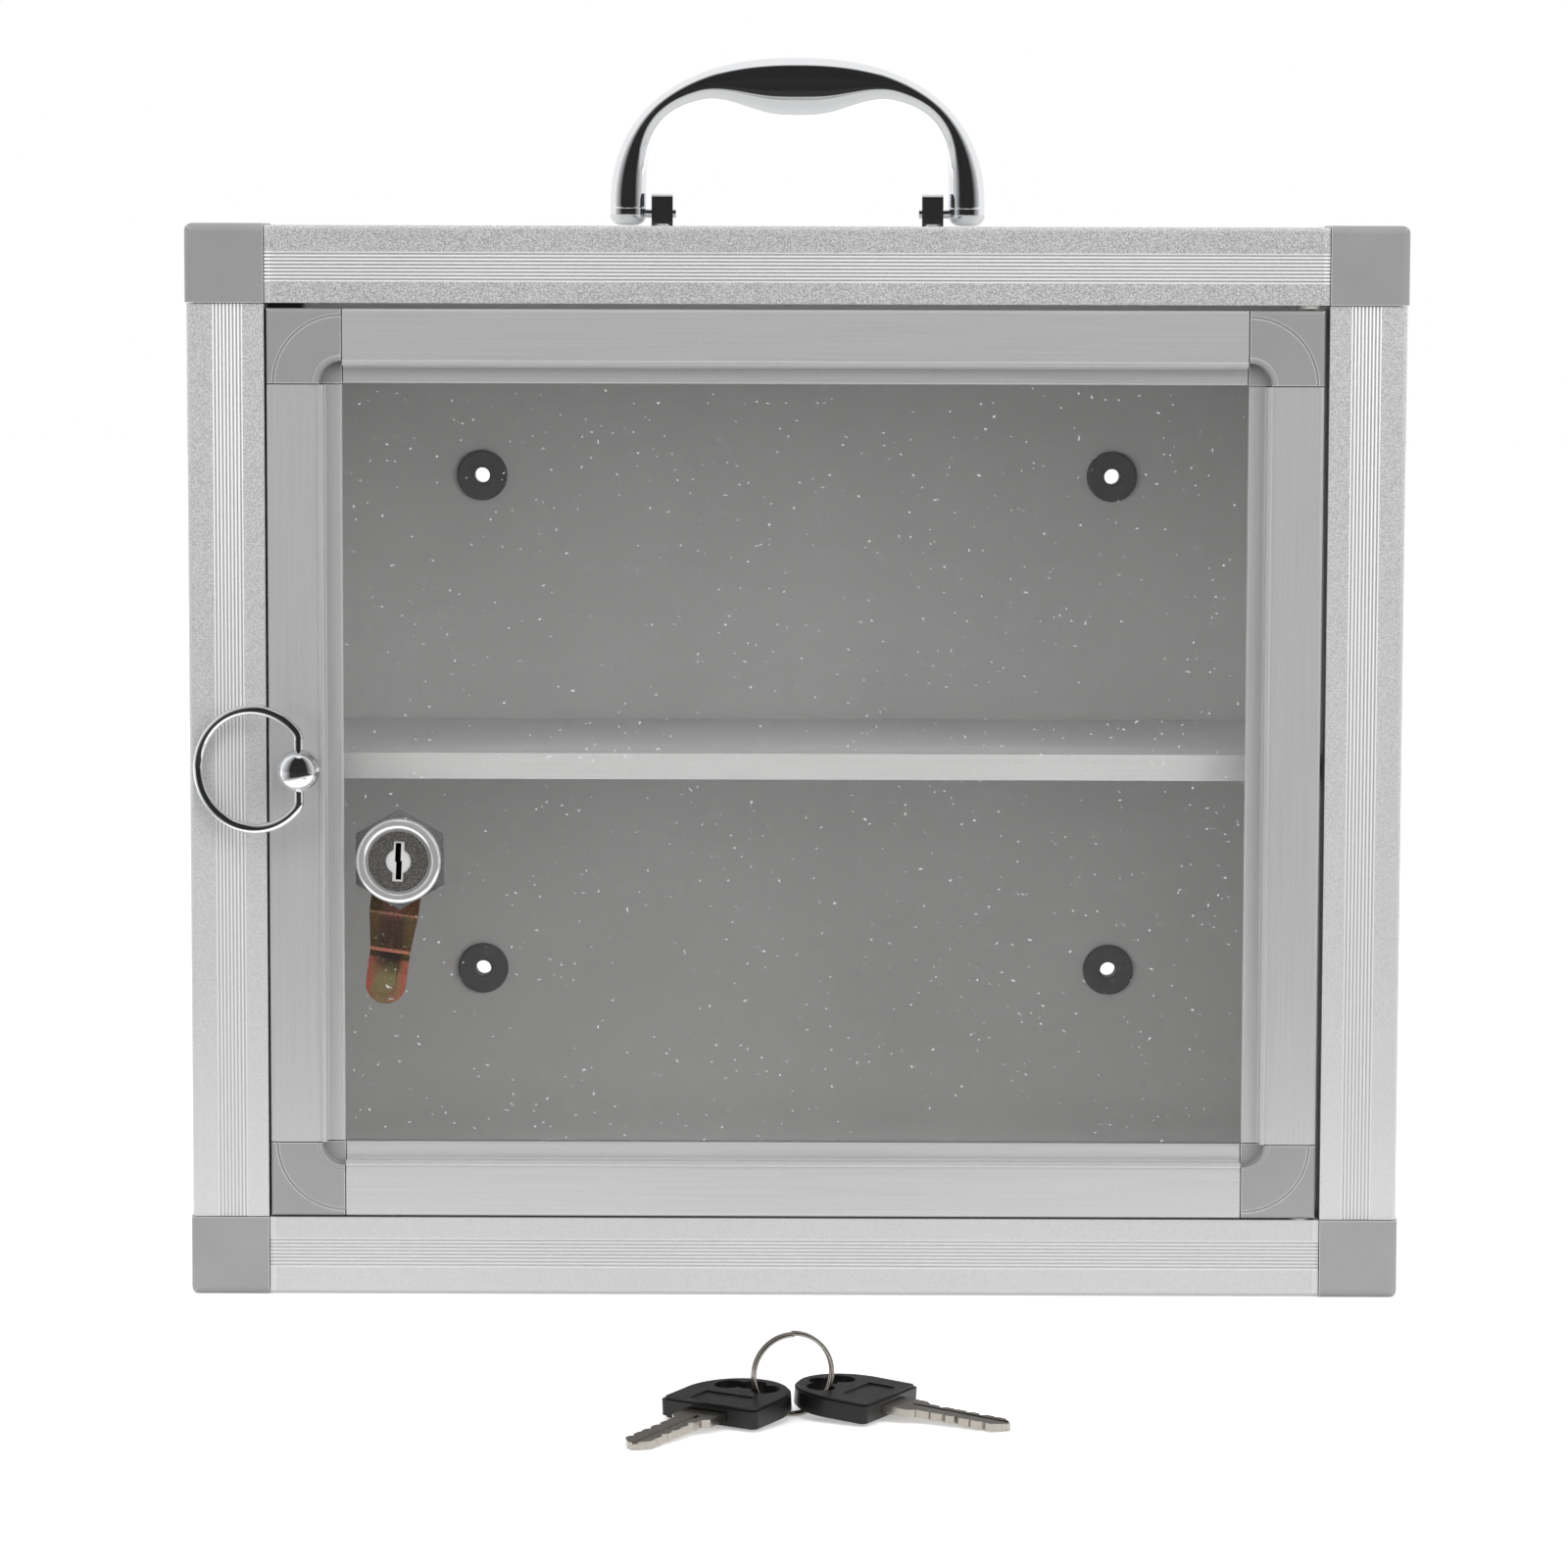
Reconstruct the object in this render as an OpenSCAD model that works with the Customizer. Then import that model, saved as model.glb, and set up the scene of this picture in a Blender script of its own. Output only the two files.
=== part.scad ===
// Wall-mounted medicine box: aluminium edge rails joined by plastic corner blocks, slotted-in
// panels, a shelf, a glazed door on two pivot pins with a cam lock and a ring pull, a folding
// carry handle, and two keys on a split ring.
// The origin is the centre of the four wall holes on the wall plane. X runs to the right seen
// from the front, Y runs back into the wall and Z runs up. All sizes are in millimetres.

/* [Case] */
// Width over the corner blocks
case_w = 321; // [260:1:420]
// Height over the corner blocks
case_h = 284; // [240:1:380]
// Depth over the corner blocks
case_d = 135; // [110:1:200]
// Side of a corner block
block = 20.8; // [20:0.1:24]
// How far a corner block stands proud of the rails
block_proud = 0.5; // [0.2:0.1:1]
// Edge radius of a corner block
block_r = 2.3; // [1:0.1:4]
// Length of the spigots that hold the rails
spigot_len = 22; // [12:1:30]
// Gap left between a rail's end and its block
rail_gap = 0.2; // [0.1:0.05:0.5]

/* [Edge rails] */
// Wall of an edge rail
rail_wall = 1.5; // [1.2:0.1:2]
// Outer edge radius of an edge rail
rail_r = 1.4; // [0.8:0.1:2]
// Depth of the slot that holds a panel
slot_depth = 8; // [6:0.5:9]
// Web between the slot and the rail's chamber
slot_web = 1.2; // [0.8:0.1:1.6]
// Number of grooves in the ribbed band
groove_count = 8; // [4:1:9]
// Pitch of the grooves
groove_pitch = 0.95; // [0.8:0.05:1.1]
// Width of one groove
groove_w = 0.8; // [0.4:0.05:0.8]
// Depth of one groove
groove_depth = 0.35; // [0.2:0.05:0.5]
// Middle of the ribbed band from the rail's outer edge
groove_mid = 10.8; // [9:0.1:12]

/* [Panels] */
// Thickness of a panel
panel_t = 3; // [2.5:0.1:3.5]
// Play of a panel in its slot, on each side
panel_play = 0.1; // [0.05:0.05:0.2]
// Gap between a panel's edge and the bottom of its slot
panel_end_gap = 0.5; // [0.3:0.1:1]

/* [Wall holes] */
// Distance between the wall holes along X
hole_dx = 180; // [140:1:220]
// Distance between the wall holes along Z
hole_dz = 142; // [110:1:170]
// Radius of a wall hole through its grommet
hole_r = 2.2; // [1.8:0.1:2.8]
// Radius of a grommet's tube
grommet_tube_r = 4.6; // [4:0.1:5.5]
// Radius of a grommet's inner flange
grommet_r = 7.2; // [6.5:0.1:8.5]
// Radius of a grommet's flange at the wall
grommet_back_r = 6; // [5.8:0.1:7]
// Thickness of a grommet's inner flange
grommet_flange_t = 1.5; // [1:0.1:2.5]
// Width of the slopes on a grommet's inner flange
grommet_crown = 0.5; // [0.3:0.1:0.8]

/* [Shelf] */
// Thickness of the shelf board
shelf_t = 5.5; // [4:0.1:8]
// Middle of the shelf board above the wall holes' centre
shelf_z = -1.65; // [-40:0.05:40]
// Wall of the shelf's edge trim
trim_wall = 0.6; // [0.5:0.1:1]
// How far the edge trim wraps over the board
trim_wrap = 8; // [5:0.5:12]
// Running gap between the door's back and the edge trim
trim_door_gap = 2; // [1.2:0.1:6]
// Gap round the shelf
shelf_play = 0.4; // [0.2:0.1:0.8]
// Leg width of a shelf angle
angle_w = 12; // [10:0.5:16]
// Thickness of a shelf angle
angle_t = 1.2; // [1:0.1:2]
// Radius of a shelf screw's thread
screw_r = 1.4; // [1.2:0.1:1.6]
// Head radius of a shelf screw
screw_head_r = 2.8; // [2.4:0.1:3.2]
// Head height of a shelf screw
screw_head_h = 1.6; // [1.2:0.1:2]

/* [Door] */
// Gap at the door's latch side
door_gap_latch = 0.6; // [0.5:0.1:1.2]
// Gap at the door's hinge side
door_gap_hinge = 1.3; // [1.3:0.1:2]
// Gap over the door
door_gap_top = 1.4; // [1.3:0.1:2]
// Gap under the door
door_gap_bottom = 0.4; // [0.35:0.05:1]
// Thickness of the door
door_t = 12; // [11:0.5:14]
// Width of a door profile's flat face
door_face_w = 13.4; // [12:0.1:16]
// Width of the bead beside the flat face
bead_w = 1.6; // [1.4:0.1:2.4]
// Height of the bead over the flat face
bead_h = 0.5; // [0.3:0.1:0.8]
// Width of the lip between the bead and the window
lip_w = 4.6; // [4:0.1:6]
// Depth of the lip's face under the flat face
lip_depth = 3; // [2:0.1:3.2]
// Thickness of the lips that hold the glass
lip_t = 1.3; // [1:0.1:1.5]
// Radius of the cove from the bead down to the lip
cove_r = 0.6; // [0.5:0.1:2.4]
// Wall of a door profile
door_wall = 1.2; // [1:0.1:1.6]
// Edge radius of a door profile
door_r = 1; // [0.6:0.1:1.4]
// Thickness of the glass
glass_t = 3; // [2.5:0.1:3.2]
// Play of the glass in its channel, on each side
glass_play = 0.1; // [0.05:0.05:0.2]
// Seam between a door profile and its corner connector
door_seam = 0.35; // [0.1:0.05:0.5]
// Length of a corner connector's legs
leg_len = 24; // [14:1:30]
// Radius of the arc groove on a corner connector
arc_groove_r = 17.8; // [16:0.1:18]
// Radius of the arc groove's section
arc_groove_w = 0.35; // [0.2:0.05:0.5]
// How much wider the connector's bead runs than the profiles' bead
bead_shift = 1.2; // [0:0.05:1.5]

/* [Door pivots] */
// Pivot axis from the door's hinge-side edge
pivot_in = 3.9; // [3.6:0.1:4.2]
// Pivot axis behind the door's front face
pivot_back = 3.5; // [3.2:0.1:3.7]
// Radius of a pivot pin
pivot_r = 1.3; // [1.1:0.1:1.4]
// Running clearance of a pivot pin in its bush
pivot_clear = 0.04; // [0.02:0.01:0.08]
// Wall of a pivot bush
bush_wall = 0.6; // [0.5:0.05:0.7]
// Length of a pivot pin inside the case rail
pivot_out = 5; // [4:0.5:7]
// Length of a pivot pin inside the door
pivot_hold = 8; // [6:0.5:12]
// Radius of a pivot bush's flange
bush_flange_r = 2.8; // [2.4:0.1:3]
// Width of a door stop
stop_w = 9; // [6:0.5:12]
// Height of a door stop
stop_h = 5; // [3:0.5:8]
// Gap between the closed door and a stop
stop_gap = 0.3; // [0.2:0.1:0.5]

/* [Lock] */
// Lock axis from the door's latch-side edge
lock_in = 34.1; // [32:0.1:40]
// Lock axis above the wall holes' centre
lock_z = -26; // [-60:0.5:-24]
// Radius of the lock's bezel
bezel_r = 11.25; // [10.5:0.05:12]
// Height of the bezel over the glass
bezel_h = 4.4; // [3.5:0.1:5]
// Radius of the bezel's bright inner ring
bezel_in_r = 8.5; // [8.2:0.1:8.8]
// Radius of the lock's barrel
barrel_r = 9.5; // [9:0.1:9.8]
// Clearance of the barrel in the glass
barrel_clear = 0.25; // [0.1:0.05:0.4]
// Length of the barrel behind the glass
barrel_back = 5.6; // [5:0.1:7]
// Radius of the lock's face disc
face_r = 8; // [7.4:0.1:8.1]
// Thickness of the lock's face disc
face_t = 1.4; // [1:0.1:2]
// How far the face disc lies under the bezel's crest
face_sink = 1; // [0.5:0.1:1.5]
// Radius of the plug
plug_r = 6.5; // [6:0.1:7]
// Running clearance of the plug and the face in the body
plug_clear = 0.06; // [0.03:0.01:0.1]
// Radius of the plug's nose in the face disc
nose_r = 3.35; // [3:0.05:3.8]
// Width of the frame round the keyway
keyway_w = 2.9; // [2.6:0.1:3.4]
// Height of the frame round the keyway
keyway_h = 10.7; // [9:0.1:12]
// Width of the key slot
slot_w = 1.5; // [1.3:0.1:1.8]
// Height of the key slot
slot_h = 9.4; // [8.6:0.1:10]
// Depth of the key slot
slot_deep = 9; // [6:0.5:11]
// Lean of the key slot at rest, in degrees
slot_lean = 3; // [0:0.5:6]
// Width of the nut across its flats
nut_af = 23.4; // [22:0.1:25]
// Height of the nut
nut_h = 4.5; // [3.5:0.1:5]
// Side of the square drive that carries the cam
drive = 7; // [6:0.1:8]

/* [Cam] */
// Thickness of the cam
cam_t = 1.6; // [1.2:0.1:2]
// Width of the cam at the lock
cam_root_w = 13.1; // [12:0.1:15]
// Width of the cam's blade
cam_blade_w = 10.7; // [9:0.1:12]
// Distance of the cam's tip from the lock axis
cam_len = 40.9; // [39:0.1:42]
// Distance of the first fold from the lock axis
cam_fold_in = 15.2; // [14:0.1:17]
// Distance of the second fold from the lock axis
cam_fold_out = 26.6; // [24:0.1:28]
// Gap between the cam's blade and the back of the case rail
cam_rail_gap = 0.5; // [0.3:0.1:1]
// Lean of the cam at rest, in degrees
cam_lean = 8; // [0:0.5:12]
// Depth of the pressed channel in the blade
cam_press = 0.4; // [0.2:0.1:0.7]
// Radius of the screw that holds the cam
cam_screw_r = 2; // [1.5:0.1:2.5]
// Length of that screw in the plug
cam_screw_l = 4; // [3:0.1:4.2]

/* [Ring pull] */
// Ring pull's ball from the door's latch-side edge
pull_in = 8.8; // [8:0.1:11]
// Ring pull's ball above the wall holes' centre
pull_z = -1; // [-12:0.5:30]
// Radius of the ball
ball_r = 5.7; // [5:0.1:6.5]
// Ball's centre in front of the door's face
ball_out = 9.2; // [8:0.1:11]
// Radius of the pull's base
pull_base_r = 4; // [3.5:0.1:4.1]
// Thickness of the pull's base
pull_base_t = 1.3; // [1:0.1:2]
// Radius of the pull's stem
stem_r = 2.7; // [2.2:0.1:3.5]
// Radius of the ring's wire
wire_r = 1.3; // [1:0.05:1.4]
// Radius of the ring at the middle of its wire
ring_r = 15.7; // [14:0.1:18]
// Distance of the ring's centre from the ball
ring_reach = 12.6; // [12:0.1:14]
// Bend radius of the ring's ends
ring_end_r = 3; // [2:0.1:4]
// How far the ring's ends enter the ball
ring_hold = 2.2; // [1.5:0.1:3]
// Running clearance of the ring's ends in the ball
ring_clear = 0.06; // [0.03:0.01:0.1]
// Gap between the resting ring and the case rail
ring_rest_gap = 0.3; // [0.3:0.1:0.6]

/* [Handle] */
// Half the handle's width at its feet
grip_a = 51.2; // [45:0.1:60]
// Height of the grip over its feet
grip_b = 41; // [36:0.1:50]
// Half the inner width of the grip
grip_in_a = 41.3; // [36:0.1:46]
// Inner height of the grip without its belly
grip_in_b = 30.7; // [26:0.1:34]
// Depth of the finger belly under the grip
grip_belly = 5.3; // [3:0.1:7]
// Half the angle that the belly takes of the grip, in degrees
grip_belly_a = 41; // [30:1:50]
// Extra half thickness of the grip from front to back
grip_swell = 0.5; // [0:0.1:1]
// Height of a foot
foot_h = 4.6; // [4.6:0.1:6]
// Gap between a foot and the top of the rails
foot_gap = 0.4; // [0.3:0.1:2]
// Bottom edge radius of a foot
foot_r = 3; // [2.9:0.1:3.4]
// Radius of a foot's pivot stud
stud_r = 1.25; // [1:0.05:1.25]
// Pivot axis above the bottom of the feet
stud_up = 3.3; // [3.25:0.05:3.35]
// Running clearance of a stud in its bracket
stud_clear = 0.06; // [0.03:0.01:0.1]
// Width of a handle bracket
bracket_w = 5.8; // [5:0.1:7]
// Gap between a foot and its bracket
bracket_gap = 1.5; // [1:0.1:2]
// Thickness of a bracket's lug from front to back
lug_t = 8; // [6:0.1:10]
// Height of a bracket's lug over the pivot axis
lug_up = 5.4; // [4:0.1:7]
// Top edge radius of a bracket's lug
lug_r = 2; // [1:0.1:3]
// Thickness of a bracket's base
bracket_base_t = 1.4; // [1.2:0.1:2]
// Length of a bracket's base from front to back
bracket_base_l = 28; // [24:0.5:34]
// Radius of a rivet's shank
rivet_r = 1.5; // [1.2:0.1:1.7]
// Radius of a rivet's head
rivet_head_r = 2.7; // [2.2:0.1:2.9]
// Height of a rivet's head
rivet_head_h = 1; // [0.8:0.1:1.4]

/* [Keys] */
// Distance of the keys from the case's front
keys_out = 150; // [60:1:200]
// Keys' place along X
keys_x = 0; // [-60:1:60]
// Radius of a key head's round end
head_r = 13.8; // [12:0.1:15]
// Length of the straight part of a key head
head_l = 11; // [9:0.1:13]
// Thickness of a key head
head_t = 5; // [4:0.1:6]
// Corner and edge radius of a key head
head_edge = 1.5; // [1:0.1:2]
// Rim between a key head's finger slot and its edge
head_rim = 2.4; // [2:0.1:2.6]
// Radius of the finger slot's lobes
lobe_r = 3.5; // [3.2:0.1:3.8]
// Angle from one lobe of the finger slot to the next
lobe_step = 42; // [38:1:46]
// Depth of a key head's sunk field
field_t = 0.3; // [0.2:0.05:0.5]
// Length of a key head's sunk field across the key
field_w = 14; // [10:0.5:18]
// Length of a key head's sunk field along the key
field_l = 7; // [5:0.5:8]
// Distance of the sunk field from the head's flat end
field_in = 3; // [2:0.5:4]
// Thickness of a key blade
blade_t = 1.9; // [1.6:0.1:2.2]
// Width of a key blade's shoulder
shoulder_w = 11; // [9:0.1:13]
// Length of a key blade's shoulder outside the head
shoulder_l = 8; // [6:0.1:10]
// Width of a key blade
blade_w = 7.4; // [6.5:0.1:8.5]
// Length of a key blade outside the head
blade_l = 31; // [27:0.5:32]
// Width of a key blade's blunt tip
blade_tip_w = 1.6; // [1:0.1:3]
// Length of the taper behind that tip
blade_tip_l = 3; // [2:0.1:5]
// Slope on the shoulder's corners
shoulder_cut = 1.5; // [0.5:0.1:2]
// Lift of the key heads off the floor, in degrees
key_tilt = 4; // [3.8:0.1:4.5]
// Radius of the split ring at the middle of its wire
split_r = 9.7; // [9.5:0.1:9.8]
// Radius of the split ring's wire
split_wire = 0.5; // [0.4:0.05:0.6]
// Step from one turn of the split ring to the next
split_pitch = 1.45; // [1.42:0.01:1.6]
// Direction of the split ring's plane, in degrees
split_dir = 14; // [8:1:20]
// Distance from the split ring's foot to each key head
split_room = 0.6; // [0.5:0.05:0.7]

/* [Hidden] */
$fn = 48;
// A small reach past a face, so that a cut goes clean through
past = 1;

rail_w = block - block_proud;
panel_slot = panel_t + 2*panel_play;
panel_mid = block_proud + rail_wall + panel_slot/2;
panel_in = panel_mid + panel_t/2;
panel_out = panel_mid - panel_t/2;
panel_edge = block - slot_depth + panel_end_gap;
spigot_from = block_proud + rail_wall + panel_slot + slot_web + panel_play;
spigot_to = block - rail_wall - panel_play;

open_w = case_w - 2*block;
open_h = case_h - 2*block;
front_y = -case_d + block_proud;
rail_back_y = -case_d + block;

door_w = open_w - door_gap_latch - door_gap_hinge;
door_h = open_h - door_gap_top - door_gap_bottom;
door_left = -open_w/2 + door_gap_latch;
door_right = door_left + door_w;
door_low = -open_h/2 + door_gap_bottom;
door_high = door_low + door_h;
tube_w = door_face_w + bead_w;
profile_w = tube_w + lip_w;
glass_from = lip_depth + lip_t;
glass_slot = glass_t + 2*glass_play;
glass_edge_in = tube_w + glass_play*4;
glass_front_y = front_y + glass_from + glass_play;
glass_back_y = glass_front_y + glass_t;
door_back_y = front_y + door_t;
// Keeps the bead's round section just inside the tube's side
bead_set = 0.05;

pivot_x = door_right - pivot_in;
pivot_y = front_y + pivot_back;
bush_r = pivot_r + pivot_clear + bush_wall;

shelf_top = shelf_z + shelf_t/2;
shelf_low = shelf_z - shelf_t/2;
shelf_front_y = door_back_y + trim_door_gap;
side_in = case_w/2 - panel_in;
back_in_y = -panel_in;

lock_x = door_left + lock_in;
pull_x = door_left + pull_in;
face_front_y = glass_front_y - bezel_h + face_sink;
barrel_end_y = glass_back_y + barrel_back;
cam_root_y = barrel_end_y + 0.2;
cam_blade_y = rail_back_y + cam_rail_gap;

ring_lean = asin((ball_out - wire_r - ring_rest_gap)/(ring_reach + ring_r));
ring_end_a = acos((ring_reach - ring_end_r)/(ring_r - ring_end_r));
ring_end_z = (ring_r - ring_end_r)*sin(ring_end_a);
ball_y = front_y - ball_out;

case_mid_y = -case_d/2;
panel_top_z = case_h/2 - panel_out;
foot_low_z = case_h/2 - block_proud + foot_gap;
grip_z = foot_low_z + foot_h;
stud_z = foot_low_z + stud_up;
leg_r = (grip_a - grip_in_a)/2;
leg_x = grip_a - leg_r;
bracket_x = leg_x - leg_r - bracket_gap - bracket_w/2;
rivet_y = bracket_base_l/2 - rivet_head_r - 1;

floor_z = -case_h/2;
keys_y = -case_d - keys_out;
head_reach = head_r + split_room;
// Each blade's direction puts one lobe of its head's finger slot on the split ring
key_left_dir = split_dir + 180 + lobe_step;
key_right_dir = split_dir - lobe_step;
blade_up = (head_t - blade_t)/2;

// Draws its children from one outer corner of the case inwards: x, y and z all run inwards
module from_case_corner(sx, sy, sz) {
    multmatrix([
        [-sx, 0, 0, sx*case_w/2],
        [0, -sy, 0, (sy - 1)*case_d/2],
        [0, 0, -sz, sz*case_h/2],
        [0, 0, 0, 1]])
        children();
}

// Hollow of a rail beside its one or two panel slots
module rail_chamber(slot_x, slot_y) {
    near = rail_wall;
    far = rail_w - rail_wall;
    web = rail_wall + panel_slot + slot_web;
    step = rail_w - slot_depth - slot_web;
    polygon(concat([[near, near]],
        slot_y ? [[step, near], [step, web], [far, web]] : [[far, near]],
        [[far, far]],
        slot_x ? [[web, far], [web, step], [near, step]] : [[near, far]]));
}

// Extruded section with its outer corner at the origin. The two slots are for a panel behind
// the x = 0 face and for one behind the y = 0 face, and both faces carry the ribbed band.
module rail_section(slot_x, slot_y) {
    difference() {
        union() {
            translate([rail_r, 0]) square([rail_w - rail_r, rail_w]);
            translate([0, rail_r]) square([rail_w, rail_w - rail_r]);
            translate([rail_r, rail_r]) circle(rail_r);
        }
        rail_chamber(slot_x, slot_y);
        if (slot_x)
            translate([rail_wall, rail_w - slot_depth]) square([panel_slot, slot_depth + past]);
        if (slot_y)
            translate([rail_w - slot_depth, rail_wall]) square([slot_depth + past, panel_slot]);
        for (i = [0:groove_count - 1]) {
            at = groove_mid + (i - (groove_count - 1)/2)*groove_pitch;
            polygon([[groove_depth, at], [-groove_depth, at + groove_w],
                [-groove_depth, at - groove_w]]);
            polygon([[at, groove_depth], [at - groove_w, -groove_depth],
                [at + groove_w, -groove_depth]]);
        }
    }
}

module rail_bar(whole, slot_x, slot_y) {
    translate([block_proud, block_proud, block + rail_gap])
        linear_extrude(whole - 2*block - 2*rail_gap)
            rail_section(slot_x, slot_y);
}

// Hole for a pivot bush in a front rail
module bush_hole() {
    translate([pivot_x, pivot_y, -case_h]) cylinder(r = bush_r, h = 2*case_h);
}

module rail_along_x(sy, sz) {
    color("silver")
        difference() {
            from_case_corner(1, sy, sz)
                multmatrix([[0, 0, 1, 0], [1, 0, 0, 0], [0, 1, 0, 0], [0, 0, 0, 1]])
                    rail_bar(case_w, sy > 0, true);
            if (sy < 0)
                intersection() {
                    bush_hole();
                    translate([0, -case_d/2, sz*open_h/2])
                        cube([case_w, case_d, 4*rail_wall], center = true);
                }
        }
}

module rail_along_y(sx, sz) {
    color("silver")
        from_case_corner(sx, -1, sz)
            multmatrix([[0, 1, 0, 0], [0, 0, 1, 0], [1, 0, 0, 0], [0, 0, 0, 1]])
                rail_bar(case_d, true, true);
}

module rail_along_z(sx, sy) {
    color("silver")
        from_case_corner(sx, sy, 1) rail_bar(case_h, true, sy > 0);
}

// Square with one rounded corner at the origin
module block_outline() {
    translate([block_r, 0]) square([block - block_r, block]);
    translate([0, block_r]) square([block, block - block_r]);
    translate([block_r, block_r]) circle(block_r);
}

module spigot() {
    translate([spigot_from, spigot_from, block - past])
        linear_extrude(past + rail_gap + spigot_len)
            square(spigot_to - spigot_from);
}

// Three-way corner block: a cube with rounded outer edges and a spigot for each rail
module corner_block(sx, sy, sz) {
    color("darkgray")
        from_case_corner(sx, sy, sz) {
            intersection() {
                linear_extrude(block) block_outline();
                multmatrix([[0, 0, 1, 0], [1, 0, 0, 0], [0, 1, 0, 0], [0, 0, 0, 1]])
                    linear_extrude(block) block_outline();
                multmatrix([[0, 1, 0, 0], [0, 0, 1, 0], [1, 0, 0, 0], [0, 0, 0, 1]])
                    linear_extrude(block) block_outline();
            }
            spigot();
            multmatrix([[0, 0, 1, 0], [1, 0, 0, 0], [0, 1, 0, 0], [0, 0, 0, 1]]) spigot();
            multmatrix([[0, 1, 0, 0], [0, 0, 1, 0], [1, 0, 0, 0], [0, 0, 0, 1]]) spigot();
        }
}

// Panel outline with its four corners cut clear of the corner blocks
module panel_outline(w, h) {
    notch = block + rail_gap - panel_edge;
    square([w - 2*panel_edge - 2*notch, h - 2*panel_edge], center = true);
    square([w - 2*panel_edge, h - 2*panel_edge - 2*notch], center = true);
}

module flat_panel(sz) {
    color("gainsboro")
        difference() {
            translate([0, case_mid_y, sz*(case_h/2 - panel_mid) - panel_t/2])
                linear_extrude(panel_t) panel_outline(case_w, case_d);
            if (sz > 0) rivet_holes();
        }
}

module side_panel(sx) {
    color("gainsboro")
        difference() {
            translate([sx*(case_w/2 - panel_mid) - panel_t/2, case_mid_y, 0])
                multmatrix([[0, 0, 1, 0], [1, 0, 0, 0], [0, 1, 0, 0], [0, 0, 0, 1]])
                    linear_extrude(panel_t) panel_outline(case_d, case_h);
            shelf_screw_places(sx) cylinder(r = screw_r, h = angle_t + screw_bite());
        }
}

module at_wall_holes() {
    for (sx = [-1, 1])
        for (sz = [-1, 1])
            translate([sx*hole_dx/2, 0, sz*hole_dz/2]) rotate([90, 0, 0]) children();
}

module back_panel() {
    color("darkgray")
        difference() {
            translate([0, -panel_out, 0]) rotate([90, 0, 0])
                linear_extrude(panel_t) panel_outline(case_w, case_h);
            at_wall_holes() cylinder(r = grommet_tube_r, h = case_d/2);
        }
}

// Black eyelets in the back panel. The wall flange stands on the wall, so a screw can't bend
// the panel.
module wall_grommets() {
    color("#2b2b2b")
        at_wall_holes()
            rotate_extrude()
                polygon([[hole_r, 0], [grommet_back_r, 0], [grommet_back_r, panel_out],
                    [grommet_tube_r, panel_out], [grommet_tube_r, panel_in],
                    [grommet_r, panel_in], [grommet_r, panel_in + grommet_flange_t - grommet_crown],
                    [grommet_r - grommet_crown, panel_in + grommet_flange_t],
                    [hole_r + grommet_crown, panel_in + grommet_flange_t],
                    [hole_r, panel_in + grommet_flange_t - grommet_crown]]);
}

// The board is as wide as the side panels allow, and narrower between the case rails
module shelf_board() {
    tongue_w = open_w - 2*shelf_play;
    wide_front = rail_back_y + shelf_play;
    wide_back = -block - shelf_play;
    board_front = shelf_front_y + trim_wall + panel_play;
    board_back = back_in_y - shelf_play;
    color("gainsboro")
        translate([0, 0, shelf_low])
            linear_extrude(shelf_t) {
                translate([-tongue_w/2, board_front]) square([tongue_w, board_back - board_front]);
                translate([-side_in + shelf_play, wide_front])
                    square([2*(side_in - shelf_play), wide_back - wide_front]);
            }
}

// U-shaped channel pushed over the board's front edge
module shelf_edge_trim() {
    trim_w = open_w - 2*shelf_play;
    inner = shelf_t + 2*panel_play;
    color("silver")
        translate([-trim_w/2, shelf_front_y, shelf_z])
            rotate([90, 0, 90])
                linear_extrude(trim_w)
                    difference() {
                        translate([0, -inner/2 - trim_wall])
                            square([trim_wrap, inner + 2*trim_wall]);
                        translate([trim_wall, -inner/2]) square([trim_wrap, inner]);
                    }
}

// Depth that a shelf screw bites into the side panel
function screw_bite() = panel_t - 0.6;

function angle_len() = case_d - 2*block - 6*shelf_play;

// Puts its children at the two screws of one shelf angle, pointing out through the side panel
module shelf_screw_places(sx) {
    for (sy = [-1, 1])
        translate([sx*(side_in - angle_t), case_mid_y + sy*angle_len()*0.36,
                shelf_low - angle_w*0.6])
            rotate([0, sx*90, 0]) children();
}

module shelf_angle(sx) {
    difference() {
        translate([0, case_mid_y, shelf_low])
            rotate([90, 0, 0])
                linear_extrude(angle_len(), center = true)
                    scale([sx, 1]) {
                        translate([side_in - angle_w, -angle_t]) square([angle_w, angle_t]);
                        translate([side_in - angle_t, -angle_w]) square([angle_t, angle_w]);
                    }
        shelf_screw_places(sx)
            translate([0, 0, -past]) cylinder(r = screw_r, h = angle_t + 2*past);
    }
}

module shelf_angles() {
    color("silver")
        for (sx = [-1, 1]) shelf_angle(sx);
}

module shelf_screws() {
    color("lightgray")
        for (sx = [-1, 1])
            shelf_screw_places(sx)
                difference() {
                    union() {
                        cylinder(r = screw_r, h = angle_t + screw_bite());
                        translate([0, 0, -screw_head_h])
                            cylinder(r1 = screw_head_r*0.75, r2 = screw_head_r, h = screw_head_h);
                    }
                    for (turn = [0, 90])
                        translate([0, 0, -screw_head_h])
                            rotate(turn) cube([screw_head_r, 0.7, 1.2], center = true);
                }
}

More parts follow.
